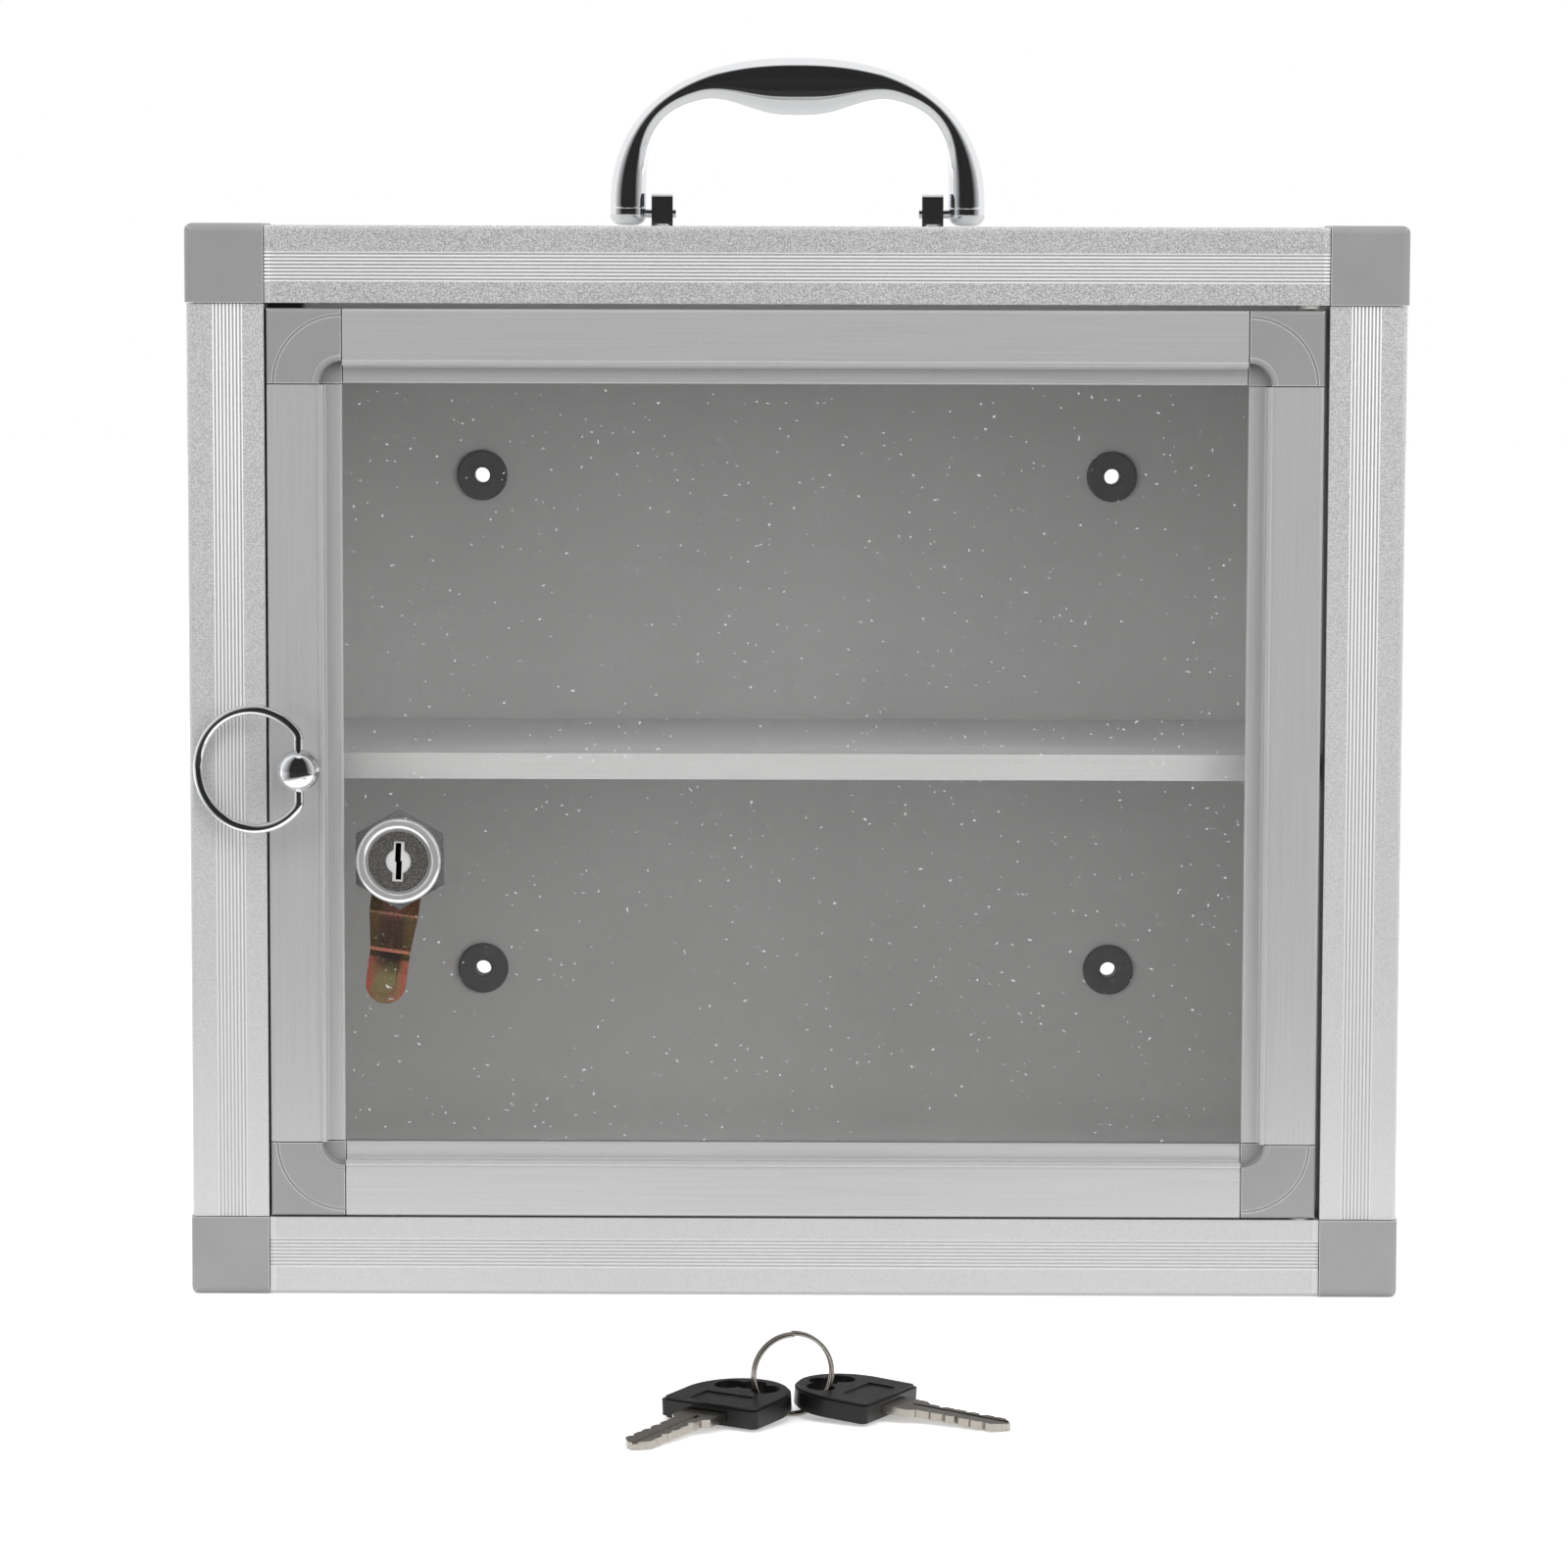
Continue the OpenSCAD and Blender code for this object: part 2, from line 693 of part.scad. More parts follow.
// Flanged bushes in the top and bottom front rails. The door stands on the lower flange.
module pivot_bushes() {
    color("white")
        for (sz = [-1, 1]) {
            gap = sz > 0 ? door_gap_top - 0.5 : door_gap_bottom - pivot_clear;
            translate([pivot_x, pivot_y, sz*open_h/2])
                scale([1, 1, sz])
                    difference() {
                        union() {
                            cylinder(r = bush_r, h = pivot_out + 0.5);
                            translate([0, 0, -gap]) cylinder(r = bush_flange_r, h = gap);
                        }
                        translate([0, 0, -gap - past])
                            cylinder(r = pivot_r + pivot_clear, h = gap + pivot_out + 2*past);
                    }
        }
}

// Black pads behind the door's latch-side corners
module door_stops() {
    color("#2b2b2b")
        for (sz = [-1, 1])
            translate([-open_w/2, door_back_y + stop_gap, sz*open_h/2])
                scale([1, 1, sz])
                    translate([0, 0, -stop_h])
                        cube([stop_w, rail_back_y - door_back_y - stop_gap, stop_h]);
}

// Handle brackets, riveted to the top panel
module at_brackets() {
    for (sx = [-1, 1]) translate([sx*bracket_x, case_mid_y, 0]) children();
}

module rivet_holes() {
    at_brackets()
        for (sy = [-1, 1])
            translate([0, sy*rivet_y, panel_top_z - panel_t - past])
                cylinder(r = rivet_r, h = panel_t + bracket_base_t + 2*past);
}

module handle_brackets() {
    lug_top = stud_z + lug_up;
    color("silver")
        difference() {
            at_brackets() {
                translate([-bracket_w/2, 0, 0])
                    rotate([90, 0, 90])
                        linear_extrude(bracket_w) {
                            translate([-lug_t/2, panel_top_z])
                                square([lug_t, lug_top - lug_r - panel_top_z]);
                            translate([-lug_t/2 + lug_r, panel_top_z])
                                square([lug_t - 2*lug_r, lug_top - panel_top_z]);
                            for (sy = [-1, 1])
                                translate([sy*(lug_t/2 - lug_r), lug_top - lug_r])
                                    circle(lug_r);
                        }
                translate([-bracket_w/2, -bracket_base_l/2, panel_top_z])
                    cube([bracket_w, bracket_base_l, bracket_base_t]);
            }
            rivet_holes();
            translate([-case_w/2, case_mid_y, stud_z])
                rotate([0, 90, 0]) cylinder(r = stud_r + stud_clear, h = case_w);
        }
}

// Each rivet has a domed head on the bracket and a flat one under the panel
module handle_rivets() {
    color("silver")
        at_brackets()
            for (sy = [-1, 1])
                translate([0, sy*rivet_y, 0]) {
                    base_top = panel_top_z + bracket_base_t;
                    panel_low = panel_top_z - panel_t;
                    translate([0, 0, panel_low])
                        cylinder(r = rivet_r, h = base_top - panel_low);
                    translate([0, 0, base_top])
                        cylinder(r1 = rivet_head_r, r2 = rivet_head_r*0.6, h = rivet_head_h);
                    translate([0, 0, panel_low - rivet_head_h])
                        cylinder(r = rivet_head_r, h = rivet_head_h);
                }
}

// Radius of a superellipse with half axes a and b at the polar angle t
function super_r(t, a, b, n) = pow(pow(abs(cos(t))/a, n) + pow(abs(sin(t))/b, n), -1/n);

// Smooth hump over the middle of the grip, full in its middle and steep at its ends
function hump(t) = abs(t - 90) < grip_belly_a
    ? 0.5 + 0.5*cos(180*pow((t - 90)/grip_belly_a, 2)) : 0;

function grip_outer(t) = super_r(t, grip_a, grip_b, 2.3);

function grip_inner(t) = super_r(t, grip_in_a, grip_in_b, 4) - grip_belly*hump(t);

// Chrome arch, swept through oval sections that run from the inner to the outer outline
module handle_grip() {
    steps = 56;
    sides = 24;
    points = [for (i = [0:steps]) for (j = [0:sides - 1])
        let (t = 180*i/steps, a = 360*j/sides)
        let (out = grip_outer(t), in = grip_inner(t))
        let (r = (out + in)/2 + (out - in)/2*cos(a))
        [-r*cos(t), (leg_r + grip_swell*hump(t))*sin(a), r*sin(t)]];
    skin = [for (i = [0:steps - 1]) for (j = [0:sides - 1])
        let (k = (j + 1) % sides)
        [i*sides + j, (i + 1)*sides + j, (i + 1)*sides + k, i*sides + k]];
    start = [for (j = [0:sides - 1]) j];
    end = [for (j = [sides - 1:-1:0]) steps*sides + j];
    color("gainsboro")
        translate([0, case_mid_y, grip_z])
            polyhedron(points, concat(skin, [start, end]), convexity = 6);
}

// Foot of the handle: a round cap with a pivot stud that turns in the bracket
module handle_foot(sx) {
    stud_len = leg_x - bracket_x + bracket_w/2 + 0.8;
    color("gainsboro")
        translate([sx*leg_x, case_mid_y, 0]) {
            translate([0, 0, foot_low_z])
                rotate_extrude()
                    intersection() {
                        union() {
                            square([leg_r - foot_r, foot_h]);
                            translate([0, foot_r]) square([leg_r, foot_h - foot_r]);
                            translate([leg_r - foot_r, foot_r]) circle(foot_r);
                        }
                        square([leg_r, foot_h]);
                    }
            translate([0, 0, stud_z])
                rotate([0, -sx*90, 0]) cylinder(r = stud_r, h = stud_len);
        }
}

// Draws its children from one front corner of the door: x and z run inwards, y runs back
module from_door_corner(sx, sz) {
    multmatrix([
        [-sx, 0, 0, sx > 0 ? door_right : door_left],
        [0, 1, 0, front_y],
        [0, 0, -sz, sz > 0 ? door_high : door_low],
        [0, 0, 0, 1]])
        children();
}

// Swaps x and z
module swapped() {
    multmatrix([[0, 0, 1, 0], [0, 1, 0, 0], [1, 0, 0, 0], [0, 0, 0, 1]]) children();
}

// Outer edge of the door with its front and back corners rounded
module door_edge(w) {
    translate([door_r, 0]) square([w - door_r, door_t]);
    translate([0, door_r]) square([w, door_t - 2*door_r]);
    translate([door_r, door_r]) circle(door_r);
    translate([door_r, door_t - door_r]) circle(door_r);
}

// Extruded door section: a hollow tube with a bead, and two lips that hold the glass
module door_section() {
    back_lip = glass_from + glass_slot;
    cove_steps = 5;
    difference() {
        door_edge(tube_w);
        translate([door_wall, door_wall])
            square([tube_w - 2*door_wall, door_t - 2*door_wall]);
    }
    translate([tube_w - bead_w/2 - bead_set, bead_w/2 - bead_h]) circle(bead_w/2);
    translate([tube_w - bead_set, lip_depth]) square([lip_w - lip_t/2 + bead_set, lip_t]);
    translate([profile_w - lip_t/2, lip_depth + lip_t/2]) circle(lip_t/2);
    translate([tube_w - bead_set, back_lip])
        square([lip_w - lip_t + bead_set, lip_t]);
    polygon(concat([[tube_w - bead_set, lip_depth + lip_t/2], [tube_w - bead_set, lip_depth - cove_r]],
        [for (i = [0:cove_steps])
            let (a = 90*i/cove_steps)
            [tube_w + cove_r*(1 - cos(a)), lip_depth - cove_r*(1 - sin(a))]],
        [[tube_w + cove_r, lip_depth + lip_t/2]]));
}

module door_bar(whole) {
    translate([0, 0, profile_w + door_seam])
        linear_extrude(whole - 2*profile_w - 2*door_seam) door_section();
}

module door_stile(sx) {
    color("silver")
        difference() {
            from_door_corner(sx, 1) door_bar(door_h);
            if (sx < 0)
                translate([pull_x, front_y - past, pull_z])
                    rotate([-90, 0, 0]) cylinder(r = screw_r, h = door_t + 2*past);
        }
}

module door_rail(sz) {
    color("silver")
        from_door_corner(1, sz) swapped() door_bar(door_w);
}

// Quarter ring about the window-side corner of a connector
module quarter_ring() {
    translate([profile_w, 0, profile_w])
        rotate([-90, 0, 0]) rotate(90) rotate_extrude(angle = 90) children();
}

// Leg of a connector inside a door profile
module connector_leg() {
    leg_in = door_wall + panel_play;
    translate([leg_in, leg_in, profile_w - past])
        cube([tube_w - 2*leg_in, door_t - 2*leg_in, past + door_seam + leg_len]);
}

module door_corner(sx, sz) {
    bead_ring_r = lip_w + bead_shift + bead_w/2;
    lip_end = glass_from + glass_slot + lip_t;
    color("darkgray")
        difference() {
            from_door_corner(sx, sz)
                difference() {
                    union() {
                        intersection() {
                            linear_extrude(profile_w) door_edge(profile_w);
                            swapped() linear_extrude(profile_w) door_edge(profile_w);
                        }
                        quarter_ring()
                            translate([bead_ring_r, bead_w/2 - bead_h]) circle(bead_w/2);
                        connector_leg();
                        swapped() connector_leg();
                    }
                    quarter_ring() translate([arc_groove_r, 0]) circle(arc_groove_w);
                    translate([profile_w, -past, profile_w])
                        rotate([-90, 0, 0])
                            cylinder(r = lip_w + bead_shift + bead_set, h = past + lip_depth);
                    translate([tube_w, glass_from, tube_w])
                        cube([lip_w + past, glass_slot, lip_w + past]);
                    translate([tube_w, lip_end, tube_w])
                        cube([lip_w + past, door_t, lip_w + past]);
                }
            if (sx > 0)
                translate([pivot_x, pivot_y, sz > 0 ? door_high - pivot_hold : door_low - past])
                    cylinder(r = pivot_r, h = pivot_hold + past);
        }
}

module door_glass() {
    color("lightcyan", 0.35)
        difference() {
            translate([door_left + glass_edge_in, glass_front_y, door_low + glass_edge_in])
                cube([door_w - 2*glass_edge_in, glass_t, door_h - 2*glass_edge_in]);
            translate([lock_x, glass_front_y - past, lock_z])
                rotate([-90, 0, 0])
                    cylinder(r = barrel_r + barrel_clear, h = glass_t + 2*past);
        }
}

module pivot_pins() {
    color("gainsboro")
        for (low = [door_high - pivot_hold, -open_h/2 - pivot_out])
            translate([pivot_x, pivot_y, low])
                cylinder(r = pivot_r, h = low > 0 ? pivot_hold + door_gap_top + pivot_out
                    : pivot_hold + door_gap_bottom + pivot_out);
}

// Puts its children on the lock axis, with z running back from the glass front
module on_lock() {
    translate([lock_x, glass_front_y, lock_z]) rotate([-90, 0, 0]) children();
}

// Bezel with a rounded crest, a bright inner ring and the barrel through the glass
module lock_body() {
    crest_r = (bezel_r - bezel_in_r)/2;
    ring_w = 0.35;
    color("gainsboro")
        on_lock()
            difference() {
                rotate_extrude() {
                    translate([bezel_in_r + crest_r, crest_r - bezel_h]) circle(crest_r);
                    translate([bezel_in_r, crest_r - bezel_h])
                        square([2*crest_r, bezel_h - crest_r]);
                    translate([face_r + plug_clear, face_sink - bezel_h])
                        square([ring_w, bezel_h - face_sink]);
                    translate([face_r + plug_clear, -1.2]) square([1, 1.2]);
                    translate([plug_r + plug_clear, face_sink + face_t - bezel_h + plug_clear])
                        square([barrel_r - plug_r - plug_clear,
                            bezel_h - face_sink - face_t - plug_clear]);
                    translate([plug_r + plug_clear, -past])
                        square([barrel_r - plug_r - plug_clear,
                            past + glass_t + barrel_back]);
                }
            }
}

module lock_nut() {
    color("gainsboro")
        on_lock()
            translate([0, 0, glass_t])
                difference() {
                    intersection() {
                        rotate(30) cylinder(d = nut_af/cos(30), h = nut_h, $fn = 6);
                        cylinder(r1 = nut_af/2 + 1.2 + nut_h, r2 = nut_af/2 + 1.2, h = nut_h);
                    }
                    translate([0, 0, -past]) cylinder(r = barrel_r, h = nut_h + 2*past);
                }
}

module keyhole_outline() {
    circle(nose_r);
    square([keyway_w, keyway_h], center = true);
}

// Dark face disc with a keyhole-shaped window for the plug's nose
module lock_face() {
    color("dimgray")
        on_lock()
            translate([0, 0, face_sink - bezel_h])
                rotate(slot_lean)
                    linear_extrude(face_t)
                        difference() {
                            circle(face_r);
                            keyhole_outline();
                        }
}

// Plug with its nose in the face disc, the key slot, and the square drive for the cam
module lock_plug() {
    nose_sink = 0.3;
    z_face = face_sink + face_t - bezel_h;
    z_end = cam_root_y - glass_front_y;
    color("gainsboro")
        on_lock()
            rotate(slot_lean)
                difference() {
                    union() {
                        translate([0, 0, z_face - face_t + nose_sink])
                            linear_extrude(face_t) keyhole_outline();
                        translate([0, 0, z_face]) cylinder(r = plug_r, h = z_end - z_face);
                        rotate(cam_lean - slot_lean)
                            translate([0, 0, z_end + (cam_t - past)/2])
                                cube([drive, drive, cam_t + past], center = true);
                    }
                    for (side = [-1, 1])
                        translate([side*slot_w/8, side*slot_h/4, z_face - face_t + slot_deep/2 - past])
                            cube([slot_w, slot_h/2 + slot_w/4, slot_deep + past], center = true);
                    translate([0, 0, z_end + cam_t - cam_screw_l])
                        cylinder(r = cam_screw_r, h = cam_screw_l + past);
                }
}

// Puts its children on the lock axis and leans them as the cam hangs
module on_cam() {
    translate([lock_x, 0, lock_z]) rotate([0, cam_lean, 0]) children();
}

// Stamped cam: the root on the drive, a crank towards the back, and the blade behind the rail
module lock_cam() {
    root_r = cam_root_w/2;
    tip_r = cam_blade_w/2;
    step_a = 7.5;
    channel_r = tip_r*0.55;
    color("#b89a4a")
        on_cam()
            difference() {
                intersection() {
                    translate([-case_w/4, 0, 0])
                        rotate([90, 0, 90])
                            linear_extrude(case_w/2)
                                polygon([[cam_root_y, root_r], [cam_root_y + cam_t, root_r],
                                    [cam_root_y + cam_t, -cam_fold_in],
                                    [cam_blade_y + cam_t, -cam_fold_out],
                                    [cam_blade_y + cam_t, -cam_len],
                                    [cam_blade_y, -cam_len], [cam_blade_y, -cam_fold_out],
                                    [cam_root_y, -cam_fold_in]]);
                    translate([0, -case_d/2, 0])
                        rotate([90, 0, 0])
                            linear_extrude(case_d, center = true)
                                polygon(concat(
                                    [for (a = [0:step_a:180]) [root_r*cos(a), root_r*sin(a)]],
                                    [[-root_r, -cam_fold_in], [-tip_r, -cam_fold_out]],
                                    [for (a = [180:step_a:360])
                                        [tip_r*cos(a), tip_r - cam_len + tip_r*sin(a)]],
                                    [[tip_r, -cam_fold_out], [root_r, -cam_fold_in]]));
                }
                translate([0, cam_root_y, 0]) cube([drive, 3*cam_t, drive], center = true);
                translate([0, cam_blade_y + cam_press, 0])
                    rotate([90, 0, 0])
                        linear_extrude(cam_press + past) {
                            translate([0, tip_r - cam_len]) circle(channel_r);
                            translate([-channel_r + 0.03, tip_r - cam_len])
                                square([2*channel_r - 0.06, cam_len - tip_r - cam_fold_out - past]);
                        }
            }
}

module lock_cam_screw() {
    washer_r = 5.6;
    washer_t = 0.8;
    head_af = 8;
    head_h = 3;
    drive_back = cam_root_y + cam_t;
    color("gainsboro")
        on_cam()
            translate([0, drive_back, 0])
                rotate([-90, 0, 0]) {
                    translate([0, 0, -cam_screw_l])
                        cylinder(r = cam_screw_r, h = cam_screw_l + washer_t);
                    cylinder(r = washer_r, h = washer_t);
                    translate([0, 0, washer_t])
                        cylinder(d = head_af/cos(30), h = head_h, $fn = 6);
                }
}

// Puts its children on the ring pull's axis, with z running out from the door's face
module on_pull() {
    translate([pull_x, front_y, pull_z]) rotate([90, 0, 0]) children();
}

module pull_base() {
    color("gainsboro")
        on_pull()
            difference() {
                rotate_extrude() {
                    square([pull_base_r - pull_base_t/2, pull_base_t]);
                    square([pull_base_r, pull_base_t/2]);
                    translate([pull_base_r - pull_base_t/2, pull_base_t/2])
                        circle(pull_base_t/2);
                    square([stem_r, ball_out - sqrt(ball_r*ball_r - stem_r*stem_r)]);
                }
                translate([0, 0, -past]) cylinder(r = screw_r, h = pull_screw_in() + past);
                translate([0, 0, ball_out]) sphere(ball_r);
            }
}

// Length of the pull's screw inside the stem
function pull_screw_in() = ball_out - ball_r - 1;

module pull_ball() {
    color("gainsboro")
        on_pull()
            translate([0, 0, ball_out])
                difference() {
                    sphere(ball_r);
                    for (side = [-1, 1])
                        rotate([side*90, 0, 0])
                            translate([0, 0, ball_r - ring_hold - 0.3])
                                cylinder(r = wire_r + ring_clear, h = ring_hold + past);
                }
}

module pull_screw() {
    color("lightgray")
        on_pull() {
            translate([0, 0, -door_t]) cylinder(r = screw_r, h = door_t + pull_screw_in());
            translate([0, 0, -door_t - screw_head_h])
                cylinder(r1 = screw_head_r*0.75, r2 = screw_head_r, h = screw_head_h);
        }
}

// Open ring: one large arc whose two ends bend in and enter the ball from above and below. The
// bends are a hair thicker than the rest, as drawn wire is where it is bent.
module pull_ring() {
    bend_extra = 0.03;
    lap_a = 1;
    color("gainsboro")
        translate([pull_x, ball_y, pull_z])
            rotate(-ring_lean)
                rotate([90, 0, 0]) {
                    translate([-ring_reach, 0])
                        rotate(ring_end_a - lap_a)
                            rotate_extrude(angle = 360 - 2*ring_end_a + 2*lap_a)
                                translate([ring_r, 0]) circle(wire_r);
                    for (side = [0, 1])
                        mirror([0, side, 0]) {
                            translate([-ring_end_r, ring_end_z])
                                rotate_extrude(angle = ring_end_a)
                                    translate([ring_end_r, 0]) circle(wire_r + bend_extra);
                            translate([0, ball_r - ring_hold, 0])
                                rotate([-90, 0, 0])
                                    cylinder(r = wire_r, h = ring_end_z - ball_r + ring_hold + 0.3);
                        }
                }
}

// Places one key: the split ring's foot is the origin, side is -1 or 1 along the ring's plane,
// and the key's own x runs along its blade with the round end's centre at the origin
module at_key(side, blade_dir) {
    translate([keys_x, keys_y, floor_z])
        rotate(split_dir)
            translate([side*head_reach, 0, 0])
                rotate(blade_dir - split_dir)
                    translate([head_l + blade_l, 0, 0])
                        rotate([0, key_tilt, 0])
                            translate([-head_l - blade_l, 0, -blade_up]) children();
}

module head_outline(inset) {
    r = head_r - inset;
    end = head_l - inset;
    intersection() {
        circle(r);
        translate([-r, -r]) square([r + end - head_edge, 2*r]);
    }
    translate([0, 0.03 - r]) square([end - head_edge, 2*(r - 0.03)]);
    translate([0, head_edge - r]) square([end, 2*(r - head_edge)]);
    for (side = [-1, 1])
        translate([end - head_edge, side*(r - head_edge)]) circle(head_edge);
}

// Black plastic head with a three-lobed finger slot and a bare sunk field on each side
module key_head() {
    step_t = 0.6;
    tang = blade_t + 2*panel_play;
    difference() {
        union() {
            translate([0, 0, step_t]) linear_extrude(head_t - 2*step_t) head_outline(0);
            linear_extrude(head_t) head_outline(step_t);
        }
        for (turn = [-1:1])
            rotate(180 + turn*lobe_step)
                translate([head_r - head_rim - lobe_r, 0, -past])
                    cylinder(r = lobe_r, h = head_t + 2*past);
        for (z = [-past, head_t - field_t])
            translate([head_l - field_l - field_in, -field_w/2, z])
                cube([field_l, field_w, past + field_t]);
        translate([head_l - shoulder_l, -shoulder_w/2 - panel_play, blade_up - panel_play])
            cube([shoulder_l + past, shoulder_w + 2*panel_play, tang]);
    }
}

// Steel blade: a shoulder with a tang in the head, and a shank with two grooves and cut bits
module key_blade() {
    shank = blade_l - shoulder_l;
    bits = 5;
    groove = blade_t*0.22;
    translate([head_l, 0, blade_up])
        difference() {
            linear_extrude(blade_t) {
                translate([panel_play - shoulder_l, -shoulder_w/2])
                    square([2*shoulder_l - panel_play - shoulder_cut, shoulder_w]);
                polygon([[shoulder_l - shoulder_cut, -shoulder_w/2],
                    [shoulder_l, shoulder_cut - shoulder_w/2],
                    [shoulder_l, shoulder_w/2 - shoulder_cut],
                    [shoulder_l - shoulder_cut, shoulder_w/2]]);
                difference() {
                    polygon([[shoulder_l, -blade_w/2], [blade_l - blade_tip_l, -blade_w/2],
                        [blade_l, -blade_tip_w/2], [blade_l, blade_tip_w/2],
                        [blade_l - blade_tip_l, blade_w/2], [shoulder_l, blade_w/2]]);
                    for (i = [1:bits])
                        for (side = [-1, 1])
                            translate([shoulder_l + shank*i/(bits + 1.5),
                                    side*(blade_w/2 + 0.5 - 0.35*((i + side) % 3))])
                                rotate(45) square(1.5, center = true);
                }
            }
            for (z = [0, blade_t])
                translate([shoulder_l - 3, (z > 0 ? 1 : -1)*blade_w/8 - 0.5, z - groove])
                    cube([blade_l, 1.2, 2*groove]);
        }
}

module key_heads() {
    color("#1c1c1e") {
        at_key(-1, key_left_dir) key_head();
        at_key(1, key_right_dir) key_head();
    }
}

module key_blades() {
    color("silver") {
        at_key(-1, key_left_dir) key_blade();
        at_key(1, key_right_dir) key_blade();
    }
}

// Split ring: two turns of one wire, standing in both finger slots
module split_ring() {
    turns = 2;
    steps = 24;
    sides = 8;
    last = turns*steps;
    points = [for (i = [0:last]) for (j = [0:sides - 1])
        let (t = 90 + 360*i/steps, a = 360*j/sides)
        let (r = split_r + split_wire*cos(a))
        [r*cos(t), (i/steps - turns/2)*split_pitch + split_wire*sin(a), r*sin(t)]];
    skin = [for (i = [0:last - 1]) for (j = [0:sides - 1])
        let (k = (j + 1) % sides)
        [i*sides + j, i*sides + k, (i + 1)*sides + k, (i + 1)*sides + j]];
    start = [for (j = [sides - 1:-1:0]) j];
    end = [for (j = [0:sides - 1]) last*sides + j];
    echo(str("least gap between the split ring's turns: ", split_pitch - 2*split_wire, " mm"));
    color("gainsboro")
        translate([keys_x, keys_y, floor_z + split_r + split_wire])
            rotate(split_dir)
                polyhedron(points, concat(skin, [start, end]), convexity = 4);
}

rail_along_x(-1, 1);  // rail_front_top
rail_along_x(-1, -1);  // rail_front_bottom
rail_along_z(-1, -1);  // rail_front_left
rail_along_z(1, -1);  // rail_front_right
rail_along_x(1, 1);  // rail_rear_top
rail_along_x(1, -1);  // rail_rear_bottom
rail_along_z(-1, 1);  // rail_rear_left
rail_along_z(1, 1);  // rail_rear_right
rail_along_y(-1, 1);  // rail_depth_top_left
rail_along_y(1, 1);  // rail_depth_top_right
rail_along_y(-1, -1);  // rail_depth_bottom_left
rail_along_y(1, -1);  // rail_depth_bottom_right
corner_block(-1, -1, 1);  // corner_front_top_left
corner_block(1, -1, 1);  // corner_front_top_right
corner_block(-1, -1, -1);  // corner_front_bottom_left
corner_block(1, -1, -1);  // corner_front_bottom_right
corner_block(-1, 1, 1);  // corner_rear_top_left
corner_block(1, 1, 1);  // corner_rear_top_right
corner_block(-1, 1, -1);  // corner_rear_bottom_left
corner_block(1, 1, -1);  // corner_rear_bottom_right
flat_panel(1);  // top_panel
flat_panel(-1);  // bottom_panel
side_panel(-1);  // left_panel
side_panel(1);  // right_panel
back_panel();
wall_grommets();
shelf_board();
shelf_edge_trim();
shelf_angles();
shelf_screws();
pivot_bushes();
door_stops();
handle_brackets();
handle_rivets();
handle_grip();
handle_foot(-1);  // handle_foot_left
handle_foot(1);  // handle_foot_right
door_stile(-1);  // door_stile_left
door_stile(1);  // door_stile_right
door_rail(1);  // door_rail_top
door_rail(-1);  // door_rail_bottom
door_corner(-1, 1);  // door_corner_top_left
door_corner(1, 1);  // door_corner_top_right
door_corner(-1, -1);  // door_corner_bottom_left
door_corner(1, -1);  // door_corner_bottom_right
door_glass();
pivot_pins();
lock_body();
lock_nut();
lock_face();
lock_plug();
lock_cam();
lock_cam_screw();
pull_base();
pull_ball();
pull_screw();
pull_ring();
key_heads();
key_blades();
split_ring();
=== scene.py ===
# Wall-mounted medicine box with a glazed door, a carry handle, a ring pull, a cam lock and two
# loose keys, photographed from the front on white
import math
import bpy
import mathutils
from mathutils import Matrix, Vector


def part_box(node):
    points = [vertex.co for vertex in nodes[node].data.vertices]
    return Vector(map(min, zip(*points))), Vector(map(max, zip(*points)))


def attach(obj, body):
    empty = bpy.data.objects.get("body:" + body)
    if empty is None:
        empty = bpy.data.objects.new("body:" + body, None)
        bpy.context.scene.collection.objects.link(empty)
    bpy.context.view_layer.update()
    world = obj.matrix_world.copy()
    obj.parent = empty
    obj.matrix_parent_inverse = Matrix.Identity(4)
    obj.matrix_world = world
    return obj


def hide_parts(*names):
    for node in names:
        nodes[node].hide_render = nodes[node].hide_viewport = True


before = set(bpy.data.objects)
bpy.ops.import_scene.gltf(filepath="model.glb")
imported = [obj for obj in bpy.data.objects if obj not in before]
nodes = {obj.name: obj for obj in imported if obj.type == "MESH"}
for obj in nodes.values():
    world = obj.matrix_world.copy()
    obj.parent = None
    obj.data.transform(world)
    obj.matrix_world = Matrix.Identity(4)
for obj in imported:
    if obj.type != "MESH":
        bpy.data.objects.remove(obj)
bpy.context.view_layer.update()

scene = bpy.context.scene
MM = 0.001

# Camera
# A long lens, 1.44 m in front of the box and level with its top rail, as the photograph's lines
# meet. It looks down by 5.6 degrees, and turns and rolls by less than a quarter of a degree.
camera_place = mathutils.Vector((2.15, -1571.7, 135.5)) * MM
camera_pitch = math.radians(5.583)
camera_yaw = math.radians(-0.206)
camera_roll = math.radians(0.155)
sensor_mm = 36
lens_mm = 125.6

ahead = mathutils.Vector((math.sin(camera_yaw) * math.cos(camera_pitch),
                          math.cos(camera_yaw) * math.cos(camera_pitch),
                          -math.sin(camera_pitch)))
level = mathutils.Vector((math.cos(camera_yaw), -math.sin(camera_yaw), 0))
above = level.cross(ahead)
side = level * math.cos(camera_roll) + above * math.sin(camera_roll)
up = above * math.cos(camera_roll) - level * math.sin(camera_roll)
camera = bpy.data.objects.new("camera", bpy.data.cameras.new("camera"))
camera.data.lens = lens_mm
camera.data.sensor_width = sensor_mm
camera.matrix_world = mathutils.Matrix((
    (side.x, up.x, -ahead.x, camera_place.x),
    (side.y, up.y, -ahead.y, camera_place.y),
    (side.z, up.z, -ahead.z, camera_place.z),
    (0, 0, 0, 1)))
scene.collection.objects.link(camera)
scene.camera = camera


